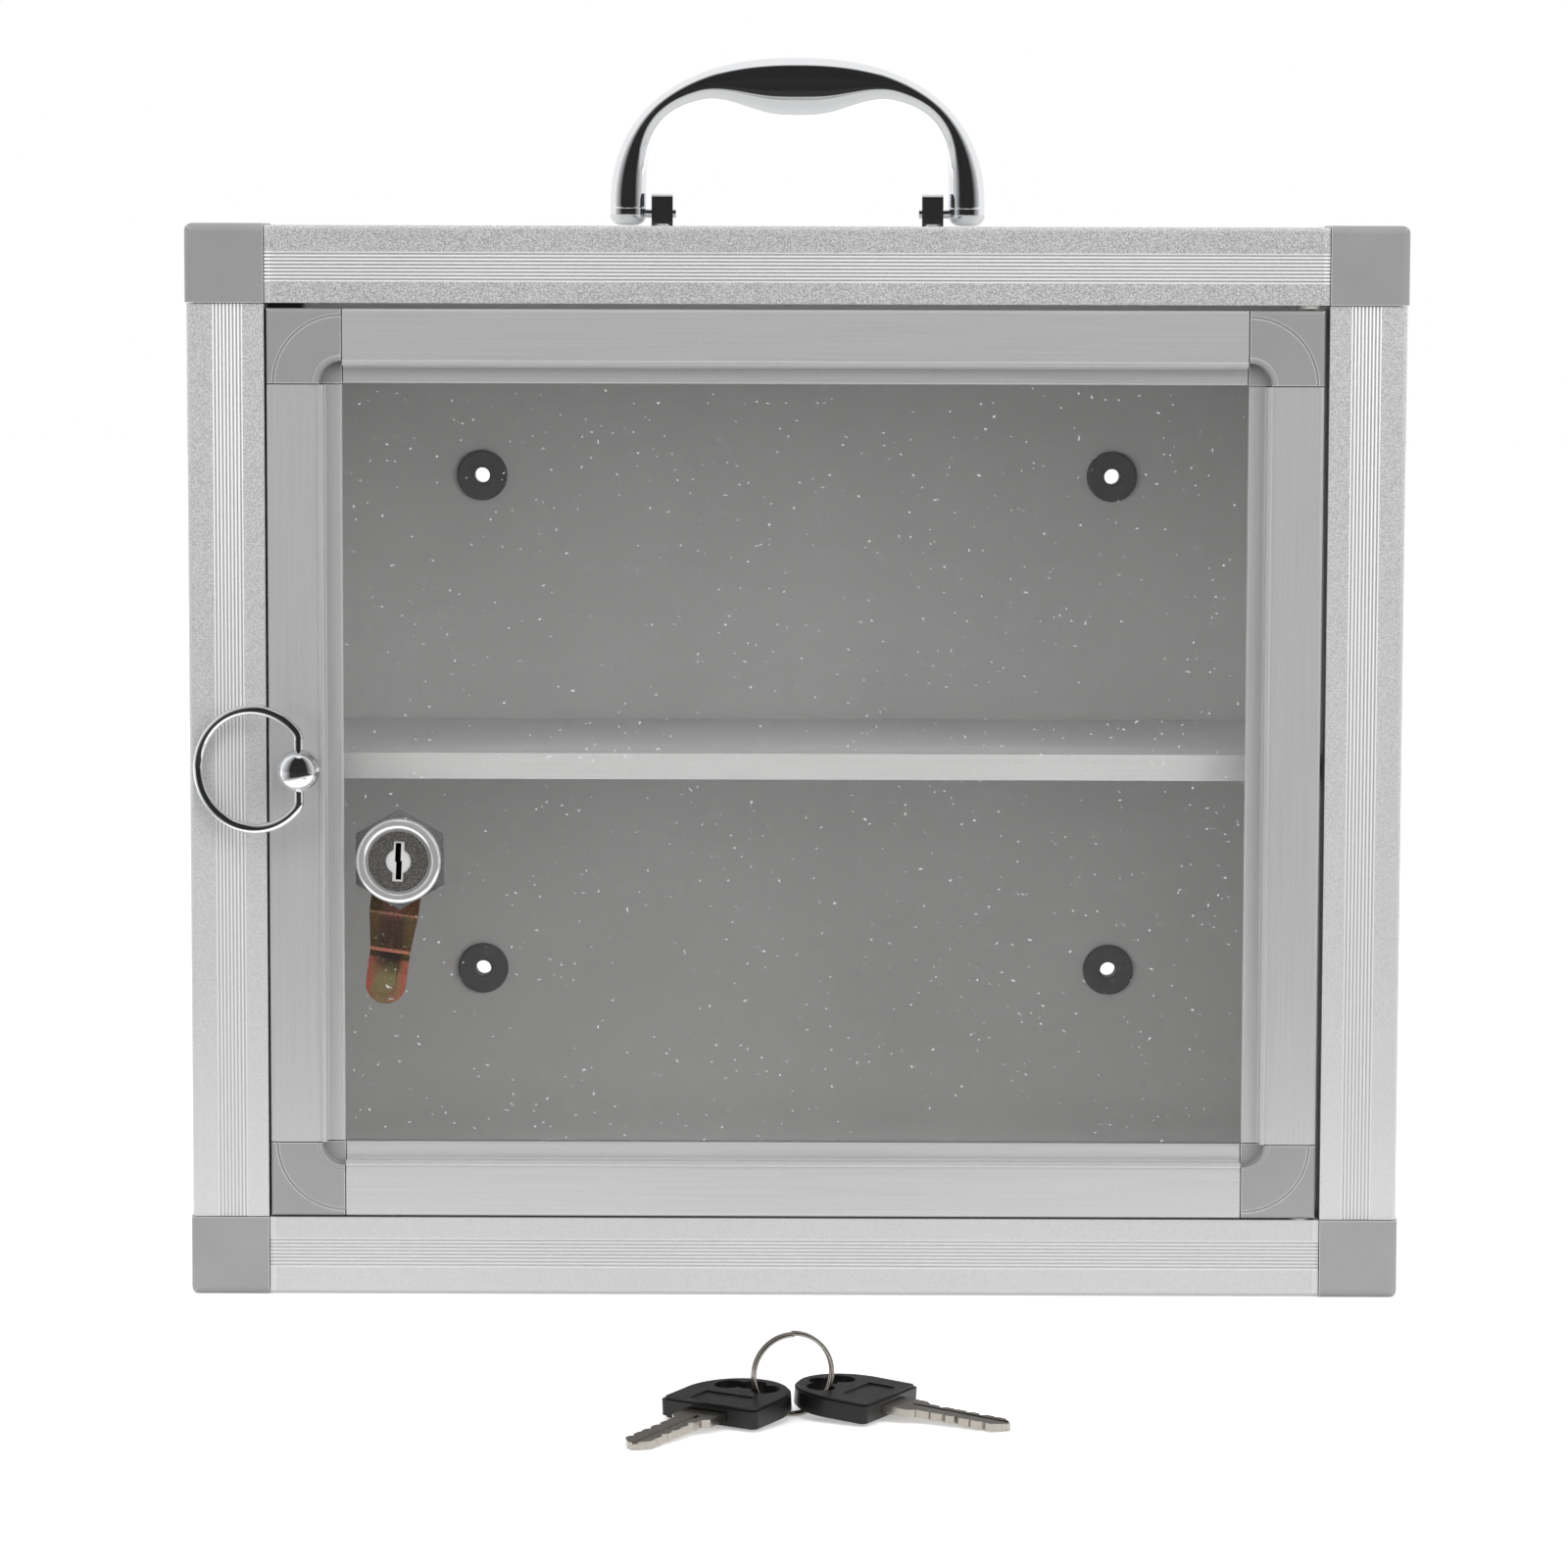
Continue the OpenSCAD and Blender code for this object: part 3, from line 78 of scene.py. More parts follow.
# Edge rails
# Twelve lengths of one aluminium extrusion, sand-blasted, anodised clear and pushed over the
# corner blocks' spigots. The flats keep the blasted grain. The ribbed band in the middle of
# each face has a painted highlight on its lands and painted shade in its grooves.
def linear(code):
    """The linear colour of an sRGB hex code."""
    parts = [int(code[i:i + 2], 16) / 255 for i in (1, 3, 5)]
    return [p / 12.92 if p < 0.04045 else ((p + 0.055) / 1.055) ** 2.4 for p in parts] + [1]


def wire(tree, node, **links):
    """Sets each named or numbered input of a node to a value, or joins it to an output."""
    for name, value in links.items():
        numbered = name[0] == "i" and name[1:].isdigit()
        socket = node.inputs[int(name[1:]) if numbered else name.replace("_", " ")]
        if isinstance(value, bpy.types.NodeSocket):
            tree.links.new(value, socket)
        else:
            socket.default_value = value


def add(tree, kind, settings=None, **links):
    """One node with its settings, and its inputs set or joined."""
    node = tree.nodes.new(kind)
    for name, value in (settings or {}).items():
        setattr(node, name, value)
    wire(tree, node, **links)
    return node


def finish(name):
    """A new material, its tree, its Principled shader and the place on the piece."""
    material = bpy.data.materials.new(name)
    material.use_nodes = True
    tree = material.node_tree
    place = add(tree, "ShaderNodeTexCoord").outputs["Object"]
    return material, tree, tree.nodes["Principled BSDF"], place


def dress(names, material, edge=0.0):
    """Gives CAD nodes a material and, where edge is set, edges rounded by that many metres."""
    for name in names:
        piece = nodes[name]
        for place in piece.material_slots:
            place.material = material
        if edge:
            bevel = piece.modifiers.new("rounded edges", "BEVEL")
            bevel.width = edge
            bevel.segments = 2
            bevel.limit_method = "ANGLE"
            bevel.angle_limit = math.radians(40)
            bevel.harden_normals = False


# Sizes: the case from its centre, the band's middle and half width from the case's edge, and
# the ribs' pitch. Blasting grit is near 0.1 mm. It is drawn at 0.3 mm, or it wouldn't show.
half_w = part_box("corner_front_top_right")[1][0]
half_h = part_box("corner_front_top_right")[1][2]
depth = -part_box("corner_front_top_right")[0][1]
band_mid = 11.3 * MM
band_half = 3.9 * MM
rib_pitch = 0.95 * MM
land_half = 0.25
grain = 0.3 * MM
cloud_size = 60 * MM
# The heights over which the grain's contrast and the ribs' painted highlight and shade grow
fade_low_z = -half_h * 0.7
fade_high_z = half_h * 0.9

# Blasted and anodised metal is pale, with a fine grit grain that evens out towards the underside.
# The uprights are painted a little paler, as painted light. The lands of the ribs carry a painted
# highlight and the grooves painted shade, both stronger higher up; the highlight is strongest on
# the uprights.
rail_metal, tree, shader, place = finish("clear anodised aluminium, sand-blasted")
centred = add(tree, "ShaderNodeVectorMath", {"operation": "ADD"}, i0=place, i1=(0, depth / 2, 0))
size = add(tree, "ShaderNodeVectorMath", {"operation": "ABSOLUTE"}, i0=centred.outputs[0])
inset = add(tree, "ShaderNodeVectorMath", {"operation": "SUBTRACT"},
            i0=(half_w, depth / 2, half_h), i1=size.outputs[0])
axes = add(tree, "ShaderNodeSeparateXYZ", i0=inset.outputs[0])
low_xy = add(tree, "ShaderNodeMath", {"operation": "MINIMUM"},
             i0=axes.outputs[0], i1=axes.outputs[1])
high_xy = add(tree, "ShaderNodeMath", {"operation": "MAXIMUM"},
              i0=axes.outputs[0], i1=axes.outputs[1])
near_z = add(tree, "ShaderNodeMath", {"operation": "MINIMUM"},
             i0=high_xy.outputs[0], i1=axes.outputs[2])
from_edge = add(tree, "ShaderNodeMath", {"operation": "MAXIMUM"},
                i0=low_xy.outputs[0], i1=near_z.outputs[0])
in_band = add(tree, "ShaderNodeMath", {"operation": "COMPARE"},
              i0=from_edge.outputs[0], i1=band_mid, i2=band_half)
blast = add(tree, "ShaderNodeTexNoise", Vector=place, Scale=1 / grain, Detail=1.0, Roughness=0.6)
height = add(tree, "ShaderNodeSeparateXYZ", i0=place)
grain_and_light_by_height = add(tree, "ShaderNodeMapRange", i0=height.outputs[2], i1=fade_low_z, i2=fade_high_z,
            i3=0.15, i4=1.0)
blasted = add(tree, "ShaderNodeMix", {"data_type": "FLOAT"}, i0=grain_and_light_by_height.outputs[0], i2=0.5,
              i3=blast.outputs["Fac"])
tone = add(tree, "ShaderNodeValToRGB", Fac=blasted.outputs[0])
tone.color_ramp.elements[0].position = 0.36
tone.color_ramp.elements[0].color = linear("#a4a4a4")
tone.color_ramp.elements[1].position = 0.64
tone.color_ramp.elements[1].color = linear("#e6e6e6")
upright = add(tree, "ShaderNodeMath", {"operation": "LESS_THAN"},
              i0=axes.outputs[0], i1=2 * band_mid)
# Painted light: the uprights' flats are mixed a little towards white
lift = add(tree, "ShaderNodeMath", {"operation": "MULTIPLY"}, i0=upright.outputs[0], i1=0.22)
flat_tone = add(tree, "ShaderNodeMix", {"data_type": "RGBA"}, i0=lift.outputs[0],
                i6=tone.outputs["Color"], i7=linear("#f0f0f0"))
turns = add(tree, "ShaderNodeMath", {"operation": "MULTIPLY_ADD"}, i0=from_edge.outputs[0],
            i1=1 / rib_pitch, i2=0.5 - band_mid / rib_pitch)
phase = add(tree, "ShaderNodeMath", {"operation": "FRACT"}, i0=turns.outputs[0])
on_land = add(tree, "ShaderNodeMath", {"operation": "COMPARE"},
              i0=phase.outputs[0], i1=0.5, i2=land_half)
# Painted shade in the grooves, deeper higher up
groove_shade = add(tree, "ShaderNodeMix", {"data_type": "RGBA"}, i0=grain_and_light_by_height.outputs[0],
                  i6=linear("#cccccc"), i7=linear("#b0b0b0"))
groove_tone = add(tree, "ShaderNodeMix", {"data_type": "RGBA"}, i0=0.3,
                  i6=groove_shade.outputs[2], i7=flat_tone.outputs[2])
# Painted highlight on the lands: full on the uprights, half on the rails across, fading towards
# the underside
upright_highlight = add(tree, "ShaderNodeMapRange", i0=upright.outputs[0], i3=0.5, i4=1.0)
bright = add(tree, "ShaderNodeMath", {"operation": "MULTIPLY"},
             i0=grain_and_light_by_height.outputs[0], i1=upright_highlight.outputs[0])
land_highlight_tone = add(tree, "ShaderNodeMix", {"data_type": "RGBA"}, i0=bright.outputs[0],
                i6=linear("#dcdcdc"), i7=linear("#ffffff"))
band = add(tree, "ShaderNodeMix", {"data_type": "RGBA"}, i0=on_land.outputs[0],
           i6=groove_tone.outputs[2], i7=land_highlight_tone.outputs[2])
band_tone = add(tree, "ShaderNodeMix", {"data_type": "RGBA"}, i0=in_band.outputs[0],
                i6=flat_tone.outputs[2], i7=band.outputs[2])
cloud = add(tree, "ShaderNodeTexNoise", Vector=place, Scale=1 / cloud_size, Detail=2.0)
clouded = add(tree, "ShaderNodeMix", {"data_type": "RGBA", "blend_type": "MULTIPLY"}, i0=0.10,
              i6=band_tone.outputs[2], i7=cloud.outputs["Fac"])
land = add(tree, "ShaderNodeMath", {"operation": "MULTIPLY"},
           i0=on_land.outputs[0], i1=bright.outputs[0])
land = add(tree, "ShaderNodeMath", {"operation": "MULTIPLY"},
           i0=land.outputs[0], i1=in_band.outputs[0])
metal = add(tree, "ShaderNodeMapRange", i0=land.outputs[0], i3=0.3, i4=0.0)
rough = add(tree, "ShaderNodeMapRange", i0=in_band.outputs[0], i3=0.5, i4=0.46)
relief = add(tree, "ShaderNodeMapRange", i0=in_band.outputs[0], i3=0.3, i4=0.04)
bump = add(tree, "ShaderNodeBump", Strength=relief.outputs[0], Distance=0.05 * MM,
           Height=blasted.outputs[0])
wire(tree, shader, Base_Color=clouded.outputs[2], Roughness=rough.outputs[0],
     Normal=bump.outputs[0], Metallic=metal.outputs[0])

rail_names = [name for name in nodes if name.startswith("rail_")]
dress(rail_names, rail_metal, 0.12 * MM)


# Corner blocks
# Three-way connectors moulded in grey nylon with a fine spark-eroded skin. The rails push
# over their spigots. The door's own four corner connectors are the same plastic.
skin_grain = 0.5 * MM
flow_size = 14 * MM
edge_highlight_r = 0.35 * MM

# Moulded nylon is a soft satin grey, a little uneven where it flowed, with a painted highlight
# along its edges
corner_plastic, tree, shader, place = finish("grey nylon, moulded satin")
skin = add(tree, "ShaderNodeTexNoise", Vector=place, Scale=1 / skin_grain, Detail=2.0)
flow = add(tree, "ShaderNodeTexNoise", Vector=place, Scale=1 / flow_size, Detail=3.0)
tone = add(tree, "ShaderNodeValToRGB", Fac=flow.outputs["Fac"])
tone.color_ramp.elements[0].color = linear("#8a8a8a")
tone.color_ramp.elements[1].color = linear("#949494")
# Painted highlight: where the Bevel node finds a rounded edge, the grey is mixed towards pale
round_edge = add(tree, "ShaderNodeBevel", {"samples": 6}, Radius=edge_highlight_r)
face_way = add(tree, "ShaderNodeNewGeometry").outputs["True Normal"]
alike = add(tree, "ShaderNodeVectorMath", {"operation": "DOT_PRODUCT"},
            i0=round_edge.outputs[0], i1=face_way)
at_edge = add(tree, "ShaderNodeMapRange", i0=alike.outputs["Value"], i1=0.998, i2=0.88, i4=0.9)
edge_highlight_tone = add(tree, "ShaderNodeMix", {"data_type": "RGBA"}, i0=at_edge.outputs[0],
                i6=tone.outputs["Color"], i7=linear("#e4e4e4"))
rough = add(tree, "ShaderNodeMapRange", i0=skin.outputs["Fac"], i3=0.28, i4=0.4)
bump = add(tree, "ShaderNodeBump", Strength=0.12, Distance=0.02 * MM, Height=skin.outputs["Fac"])
wire(tree, shader, Base_Color=edge_highlight_tone.outputs[2], Roughness=rough.outputs[0],
     Normal=bump.outputs[0])

dress([name for name in nodes if name.startswith("corner_")], corner_plastic)
dress([name for name in nodes if name.startswith("door_corner_")], corner_plastic, 0.1 * MM)


# Panels
# Flat aluminium-faced sheets slid into the rails' slots, roller-coated silver grey: four round the
# sides and one at the back, whose copy of the coat is a little darker as painted shade.
def coated_sheet(name, light, dark, along):
    """Roller-coated sheet: pale and even, with faint streaks along it and a slow unevenness."""
    streak_size = 0.8 * MM
    uneven_size = 90 * MM
    material, tree, shader, place = finish(name)
    stretch = add(tree, "ShaderNodeMapping", Vector=place, Scale=along)
    streak = add(tree, "ShaderNodeTexNoise", Vector=stretch.outputs[0], Scale=1 / streak_size,
                 Detail=2.0)
    uneven = add(tree, "ShaderNodeTexNoise", Vector=place, Scale=1 / uneven_size, Detail=3.0)
    both = add(tree, "ShaderNodeMix", {"data_type": "FLOAT"}, i0=0.7,
               i2=streak.outputs["Fac"], i3=uneven.outputs["Fac"])
    tone = add(tree, "ShaderNodeValToRGB", Fac=both.outputs[0])
    tone.color_ramp.elements[0].position = 0.3
    tone.color_ramp.elements[0].color = linear(dark)
    tone.color_ramp.elements[1].position = 0.7
    tone.color_ramp.elements[1].color = linear(light)
    rough = add(tree, "ShaderNodeMapRange", i0=streak.outputs["Fac"], i3=0.36, i4=0.46)
    bump = add(tree, "ShaderNodeBump", Strength=0.06, Distance=0.02 * MM,
               Height=streak.outputs["Fac"])
    wire(tree, shader, Base_Color=tone.outputs["Color"], Roughness=rough.outputs[0],
         Normal=bump.outputs[0], Metallic=0.2)
    return material


# Streaks run along each axis whose scale is small
panel_sheet = coated_sheet("coated aluminium sheet, silver grey", "#ececeb", "#e4e4e3",
                           (1, 0.02, 0.02))
# Painted shade: the back is a darker copy of the sides' sheet
shaded_back_sheet = coated_sheet("coated aluminium sheet, back", "#dfdedd", "#d8d7d6", (0.02, 1, 1))
dress(["top_panel", "bottom_panel", "left_panel", "right_panel"], panel_sheet, 0.15 * MM)
dress(["back_panel"], shaded_back_sheet, 0.15 * MM)


# Wall grommets and door stops
# Soft black rubber eyelets pressed into the back panel, and two pads that the door shuts on.
bloom_size = 3 * MM

# Nitrile rubber looks dull and dark grey, with a bloom in slow patches
rubber, tree, shader, place = finish("black nitrile rubber")
bloom = add(tree, "ShaderNodeTexNoise", Vector=place, Scale=1 / bloom_size, Detail=4.0)
tone = add(tree, "ShaderNodeValToRGB", Fac=bloom.outputs["Fac"])
tone.color_ramp.elements[0].color = linear("#565656")
tone.color_ramp.elements[1].color = linear("#666666")
bump = add(tree, "ShaderNodeBump", Strength=0.2, Distance=0.05 * MM, Height=bloom.outputs["Fac"])
wire(tree, shader, Base_Color=tone.outputs["Color"], Normal=bump.outputs[0], Roughness=0.62)
dress(["wall_grommets", "door_stops"], rubber, 0.2 * MM)


# Shelf
# The same coated sheet as the case, folded round a light core, with a drawn aluminium channel
# pushed over its front edge. Two angles and four pan head screws carry it.
shelf_sheet = coated_sheet("coated aluminium sheet, shelf", "#ececed", "#e2e2e3", (0.02, 1, 1))
dress(["shelf_board"], shelf_sheet, 0.2 * MM)


def drawn_aluminium(name, light, dark, along):
    """Satin anodised extrusion: a soft sheen with fine die lines that run along it.

    Real die lines are near 0.1 mm wide. They are drawn at 0.45 mm, or they wouldn't show.
    """
    line_size = 0.45 * MM
    speck_size = 0.4 * MM
    material, tree, shader, place = finish(name)
    stretch = add(tree, "ShaderNodeMapping", Vector=place, Scale=along)
    lines = add(tree, "ShaderNodeTexNoise", Vector=stretch.outputs[0], Scale=1 / line_size,
                Detail=3.0, Roughness=0.6)
    speck = add(tree, "ShaderNodeTexNoise", Vector=place, Scale=1 / speck_size, Detail=2.0)
    both = add(tree, "ShaderNodeMix", {"data_type": "FLOAT"}, i0=0.4,
               i2=lines.outputs["Fac"], i3=speck.outputs["Fac"])
    tone = add(tree, "ShaderNodeValToRGB", Fac=both.outputs[0])
    tone.color_ramp.elements[0].position = 0.36
    tone.color_ramp.elements[0].color = linear(dark)
    tone.color_ramp.elements[1].position = 0.64
    tone.color_ramp.elements[1].color = linear(light)
    rough = add(tree, "ShaderNodeMapRange", i0=lines.outputs["Fac"], i3=0.3, i4=0.42)
    bump = add(tree, "ShaderNodeBump", Strength=0.08, Distance=0.02 * MM,
               Height=both.outputs[0])
    wire(tree, shader, Base_Color=tone.outputs["Color"], Roughness=rough.outputs[0],
         Normal=bump.outputs[0], Metallic=0.32)
    return material


# Painted light: the shelf edge is a paler copy of the door profiles' satin aluminium
lightened_trim = drawn_aluminium("satin anodised aluminium, shelf edge", "#e8e8e7", "#dfdfde",
                             (0.01, 1, 1))
drawn_y = drawn_aluminium("satin anodised aluminium, drawn inwards", "#cfd0d1", "#c1c2c3",
                          (1, 0.01, 1))
dress(["shelf_edge_trim"], lightened_trim, 0.15 * MM)
dress(["shelf_angles"], drawn_y, 0.15 * MM)

# Zinc plate on small steel parts is silvery, half dull and half bright in small patches
spangle_size = 0.7 * MM
zinc, tree, shader, place = finish("zinc-plated steel")
spangle = add(tree, "ShaderNodeTexNoise", Vector=place, Scale=1 / spangle_size, Detail=3.0)
rough = add(tree, "ShaderNodeMapRange", i0=spangle.outputs["Fac"], i3=0.22, i4=0.4)
bump = add(tree, "ShaderNodeBump", Strength=0.1, Distance=0.02 * MM,
           Height=spangle.outputs["Fac"])
wire(tree, shader, Base_Color=linear("#c3c5c8"), Roughness=rough.outputs[0],
     Normal=bump.outputs[0], Metallic=1.0)
dress(["shelf_screws", "handle_rivets", "pull_screw", "pivot_pins", "lock_cam_screw"], zinc)


# Door frame
# Four drawn profiles with a bead and a lip that holds the glass, pushed over the legs of the
# corner connectors. The door hangs on two steel pins in nylon bushes.
drawn_x = drawn_aluminium("satin anodised aluminium, drawn across", "#c4c4c4", "#bababa",
                          (0.01, 1, 1))
drawn_z = drawn_aluminium("satin anodised aluminium, drawn upright", "#c4c4c4", "#bababa",
                          (1, 1, 0.01))
dress(["door_rail_top", "door_rail_bottom"], drawn_x, 0.12 * MM)
dress(["door_stile_left", "door_stile_right"], drawn_z, 0.12 * MM)

# Turned nylon is off-white and waxy, with faint tool marks
tool_mark = 0.6 * MM
nylon, tree, shader, place = finish("natural nylon, turned")
turned = add(tree, "ShaderNodeTexNoise", Vector=place, Scale=1 / tool_mark, Detail=2.0)
bump = add(tree, "ShaderNodeBump", Strength=0.1, Distance=0.02 * MM, Height=turned.outputs["Fac"])
wire(tree, shader, Base_Color=linear("#c2c2be"), Roughness=0.4, Normal=bump.outputs[0])
dress(["pivot_bushes"], nylon)


# Glass
# A pane of 3 mm float glass, held in the slots of the door's profiles. Wiping has left a thin
# film on its outside, with some dust.
dust_size = 1.1 * MM
wipe_size = 45 * MM
glass_mid = (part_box("door_glass")[0][1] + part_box("door_glass")[1][1]) / 2

# Float glass is clear and colourless. The film and the dust veil what lies behind it a little.
# Only the peaks of the dust's noise show, so a speck is near 0.3 mm. Shadow and diffuse rays
# pass straight through, so that the inside of the box is lit.
glass, tree, shader, place = finish("float glass, 3 mm, with dust")
wire(tree, shader, Base_Color=linear("#fbfbfb"), Roughness=0.0, IOR=1.5, Transmission_Weight=1.0)
dust = add(tree, "ShaderNodeTexNoise", Vector=place, Scale=1 / dust_size, Detail=1.0)
speck = add(tree, "ShaderNodeMapRange", i0=dust.outputs["Fac"], i1=0.73, i2=0.77, i4=0.5)
wipe = add(tree, "ShaderNodeTexNoise", Vector=place, Scale=1 / wipe_size, Detail=4.0)
film = add(tree, "ShaderNodeMapRange", i0=wipe.outputs["Fac"], i1=0.3, i2=0.7, i3=0.006,
           i4=0.018)
both = add(tree, "ShaderNodeMath", {"operation": "ADD"}, i0=speck.outputs[0], i1=film.outputs[0])
axes = add(tree, "ShaderNodeSeparateXYZ", i0=place)
outside = add(tree, "ShaderNodeMath", {"operation": "LESS_THAN"}, i0=axes.outputs[1], i1=glass_mid)
veil = add(tree, "ShaderNodeMath", {"operation": "MULTIPLY"},
           i0=both.outputs[0], i1=outside.outputs[0])
chalk = add(tree, "ShaderNodeBsdfDiffuse", Color=linear("#e8e8e8"))
clear = add(tree, "ShaderNodeBsdfTransparent", Color=linear("#fafafa"))
dusty = add(tree, "ShaderNodeMixShader", i0=veil.outputs[0], i1=shader.outputs[0],
            i2=chalk.outputs[0])
ray = add(tree, "ShaderNodeLightPath")
passing = add(tree, "ShaderNodeMath", {"operation": "MAXIMUM"}, i0=ray.outputs["Is Shadow Ray"],
              i1=ray.outputs["Is Diffuse Ray"])
mixed = add(tree, "ShaderNodeMixShader", i0=passing.outputs[0], i1=dusty.outputs[0],
            i2=clear.outputs[0])
wire(tree, tree.nodes["Material Output"], Surface=mixed.outputs[0])
dress(["door_glass"], glass)


# Lock and pull
# A glass door cam lock, clamped on the pane by its hexagon nut: chromed zinc body, a dark
# grained face disc and a plug with a stepped key slot. The ball pull is screwed through the stile.
wave_size = 9 * MM
haze_size = 2 * MM

# Bright chrome is a mirror with very slow waves and a breath of haze
chrome, tree, shader, place = finish("bright chrome on zinc")
wave = add(tree, "ShaderNodeTexNoise", Vector=place, Scale=1 / wave_size, Detail=1.0)
haze = add(tree, "ShaderNodeTexNoise", Vector=place, Scale=1 / haze_size, Detail=3.0)
rough = add(tree, "ShaderNodeMapRange", i0=haze.outputs["Fac"], i3=0.03, i4=0.09)
bump = add(tree, "ShaderNodeBump", Strength=0.05, Distance=0.3 * MM, Height=wave.outputs["Fac"])
wire(tree, shader, Base_Color=linear("#e9eaec"), Roughness=rough.outputs[0],
     Normal=bump.outputs[0], Metallic=1.0)
dress(["pull_base", "pull_ball", "pull_ring", "handle_foot_left", "handle_foot_right"], chrome)


def hazy_chrome(name, colour, metallic, haze_size, clear_part, dull_part, dent, dent_depth):
    """Chrome whose shine breaks up over some tenths of a millimetre, with dents as small."""
    material, tree, shader, place = finish(name)
    haze = add(tree, "ShaderNodeTexNoise", Vector=place, Scale=1 / haze_size, Detail=3.0)
    rough = add(tree, "ShaderNodeMapRange", i0=haze.outputs["Fac"], i3=clear_part, i4=dull_part)
    bump = add(tree, "ShaderNodeBump", Strength=dent, Distance=dent_depth,
               Height=haze.outputs["Fac"])
    wire(tree, shader, Base_Color=linear(colour), Roughness=rough.outputs[0],
         Normal=bump.outputs[0], Metallic=metallic)
    return material


# Painted reflection: the lock body is partly diffuse, so it stays pale whatever it mirrors
satin_chrome = hazy_chrome("satin chrome on zinc", "#f2f2f2", 0.7, 0.5 * MM,
                           0.1, 0.18, 0.12, 0.03 * MM)
nut_chrome = hazy_chrome("dull chrome on brass", "#dcdcdc", 0.82, 0.7 * MM,
                         0.14, 0.26, 0.15, 0.04 * MM)
dress(["lock_body"], satin_chrome)
dress(["lock_nut"], nut_chrome, 0.15 * MM)

# The plug's nose is a pale, mostly diffuse colour, a painted reflection of chrome, and its slot is
# darkened from a few tenths of a millimetre down as painted shade
nose_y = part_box("lock_plug")[0][1]
slot_rim = 0.1 * MM
slot_dark = 0.5 * MM
plug_haze = 0.6 * MM
plug_metal, tree, shader, place = finish("chromed plug, painted pale, painted shade inside its slot")
axes = add(tree, "ShaderNodeSeparateXYZ", i0=place)
slot_shade = add(tree, "ShaderNodeMapRange", i0=axes.outputs[1], i1=nose_y + slot_rim,
           i2=nose_y + slot_dark)
haze = add(tree, "ShaderNodeTexNoise", Vector=place, Scale=1 / plug_haze, Detail=3.0)
# Painted shade in the slot, below a pale nose that stands in for chrome's reflection
tone = add(tree, "ShaderNodeMix", {"data_type": "RGBA"}, i0=slot_shade.outputs[0],
           i6=linear("#e6e6e6"), i7=linear("#2c2622"))
rough = add(tree, "ShaderNodeMapRange", i0=haze.outputs["Fac"], i3=0.12, i4=0.3)
bump = add(tree, "ShaderNodeBump", Strength=0.2, Distance=0.04 * MM, Height=haze.outputs["Fac"])
wire(tree, shader, Base_Color=tone.outputs[2], Roughness=rough.outputs[0],
     Normal=bump.outputs[0], Metallic=0.3)
dress(["lock_plug"], plug_metal, 0.12 * MM)

# Cast zinc is dark and sparkles with its grain
cast_grain = 0.28 * MM
face_metal, tree, shader, place = finish("dark zinc, fine cast grain")
cast = add(tree, "ShaderNodeTexNoise", Vector=place, Scale=1 / cast_grain, Detail=2.0)
tone = add(tree, "ShaderNodeValToRGB", Fac=cast.outputs["Fac"])
tone.color_ramp.elements[0].position = 0.42
tone.color_ramp.elements[0].color = linear("#565452")
tone.color_ramp.elements[1].position = 0.62
tone.color_ramp.elements[1].color = linear("#9a9894")
bump = add(tree, "ShaderNodeBump", Strength=0.5, Distance=0.08 * MM, Height=cast.outputs["Fac"])
wire(tree, shader, Base_Color=tone.outputs["Color"], Roughness=0.45, Normal=bump.outputs[0],
     Metallic=0.7)
dress(["lock_face"], face_metal, 0.1 * MM)


# Cam
# A stamped steel blade with two bends, screwed to the end of the plug. Its yellow passivated
# zinc coat shifts from gold to pink and green. Painted shade darkens it above the folds and just
# under the lower fold, and painted highlights mark the folds and the edges over their pink.
plug_low, plug_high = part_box("lock_plug")
lock_x = (plug_low[0] + plug_high[0]) / 2
lock_z = (plug_low[2] + plug_high[2]) / 2
cam_lean = math.radians(8)
cam_end_z = -42 * MM
bend_z = -15.6 * MM
bend_half = 0.3 * MM
fold_z = -26.4 * MM
fold_half = 0.5 * MM
blade_z = -28.6 * MM
rim_from_x = 2.4 * MM
rim_to_x = 4.4 * MM
patch_size = 6 * MM
tint_size = 2 * MM
scuff_size = 1.2 * MM

# The coat is brown and golden above the folds, darkened there and just under the lower fold as
# painted shade, and pale on the blade, with a lustre
passivated, tree, shader, place = finish("yellow passivated zinc, iridescent")
own = add(tree, "ShaderNodeMapping", {"vector_type": "TEXTURE"}, Vector=place,
          Location=(lock_x, 0, lock_z), Rotation=(0, cam_lean, 0))
axes = add(tree, "ShaderNodeSeparateXYZ", i0=own.outputs[0])
along = add(tree, "ShaderNodeMapRange", i0=axes.outputs[2], i1=0.0, i2=cam_end_z)
across = add(tree, "ShaderNodeMath", {"operation": "ABSOLUTE"}, i0=axes.outputs[0])
patch = add(tree, "ShaderNodeTexNoise", Vector=place, Scale=1 / patch_size, Detail=3.0,
            Distortion=0.6)
wander = add(tree, "ShaderNodeMapRange", i0=patch.outputs["Fac"], i1=0.3, i2=0.7, i3=-0.02,
             i4=0.02)
at = add(tree, "ShaderNodeMath", {"operation": "ADD"}, i0=along.outputs[0], i1=wander.outputs[0])
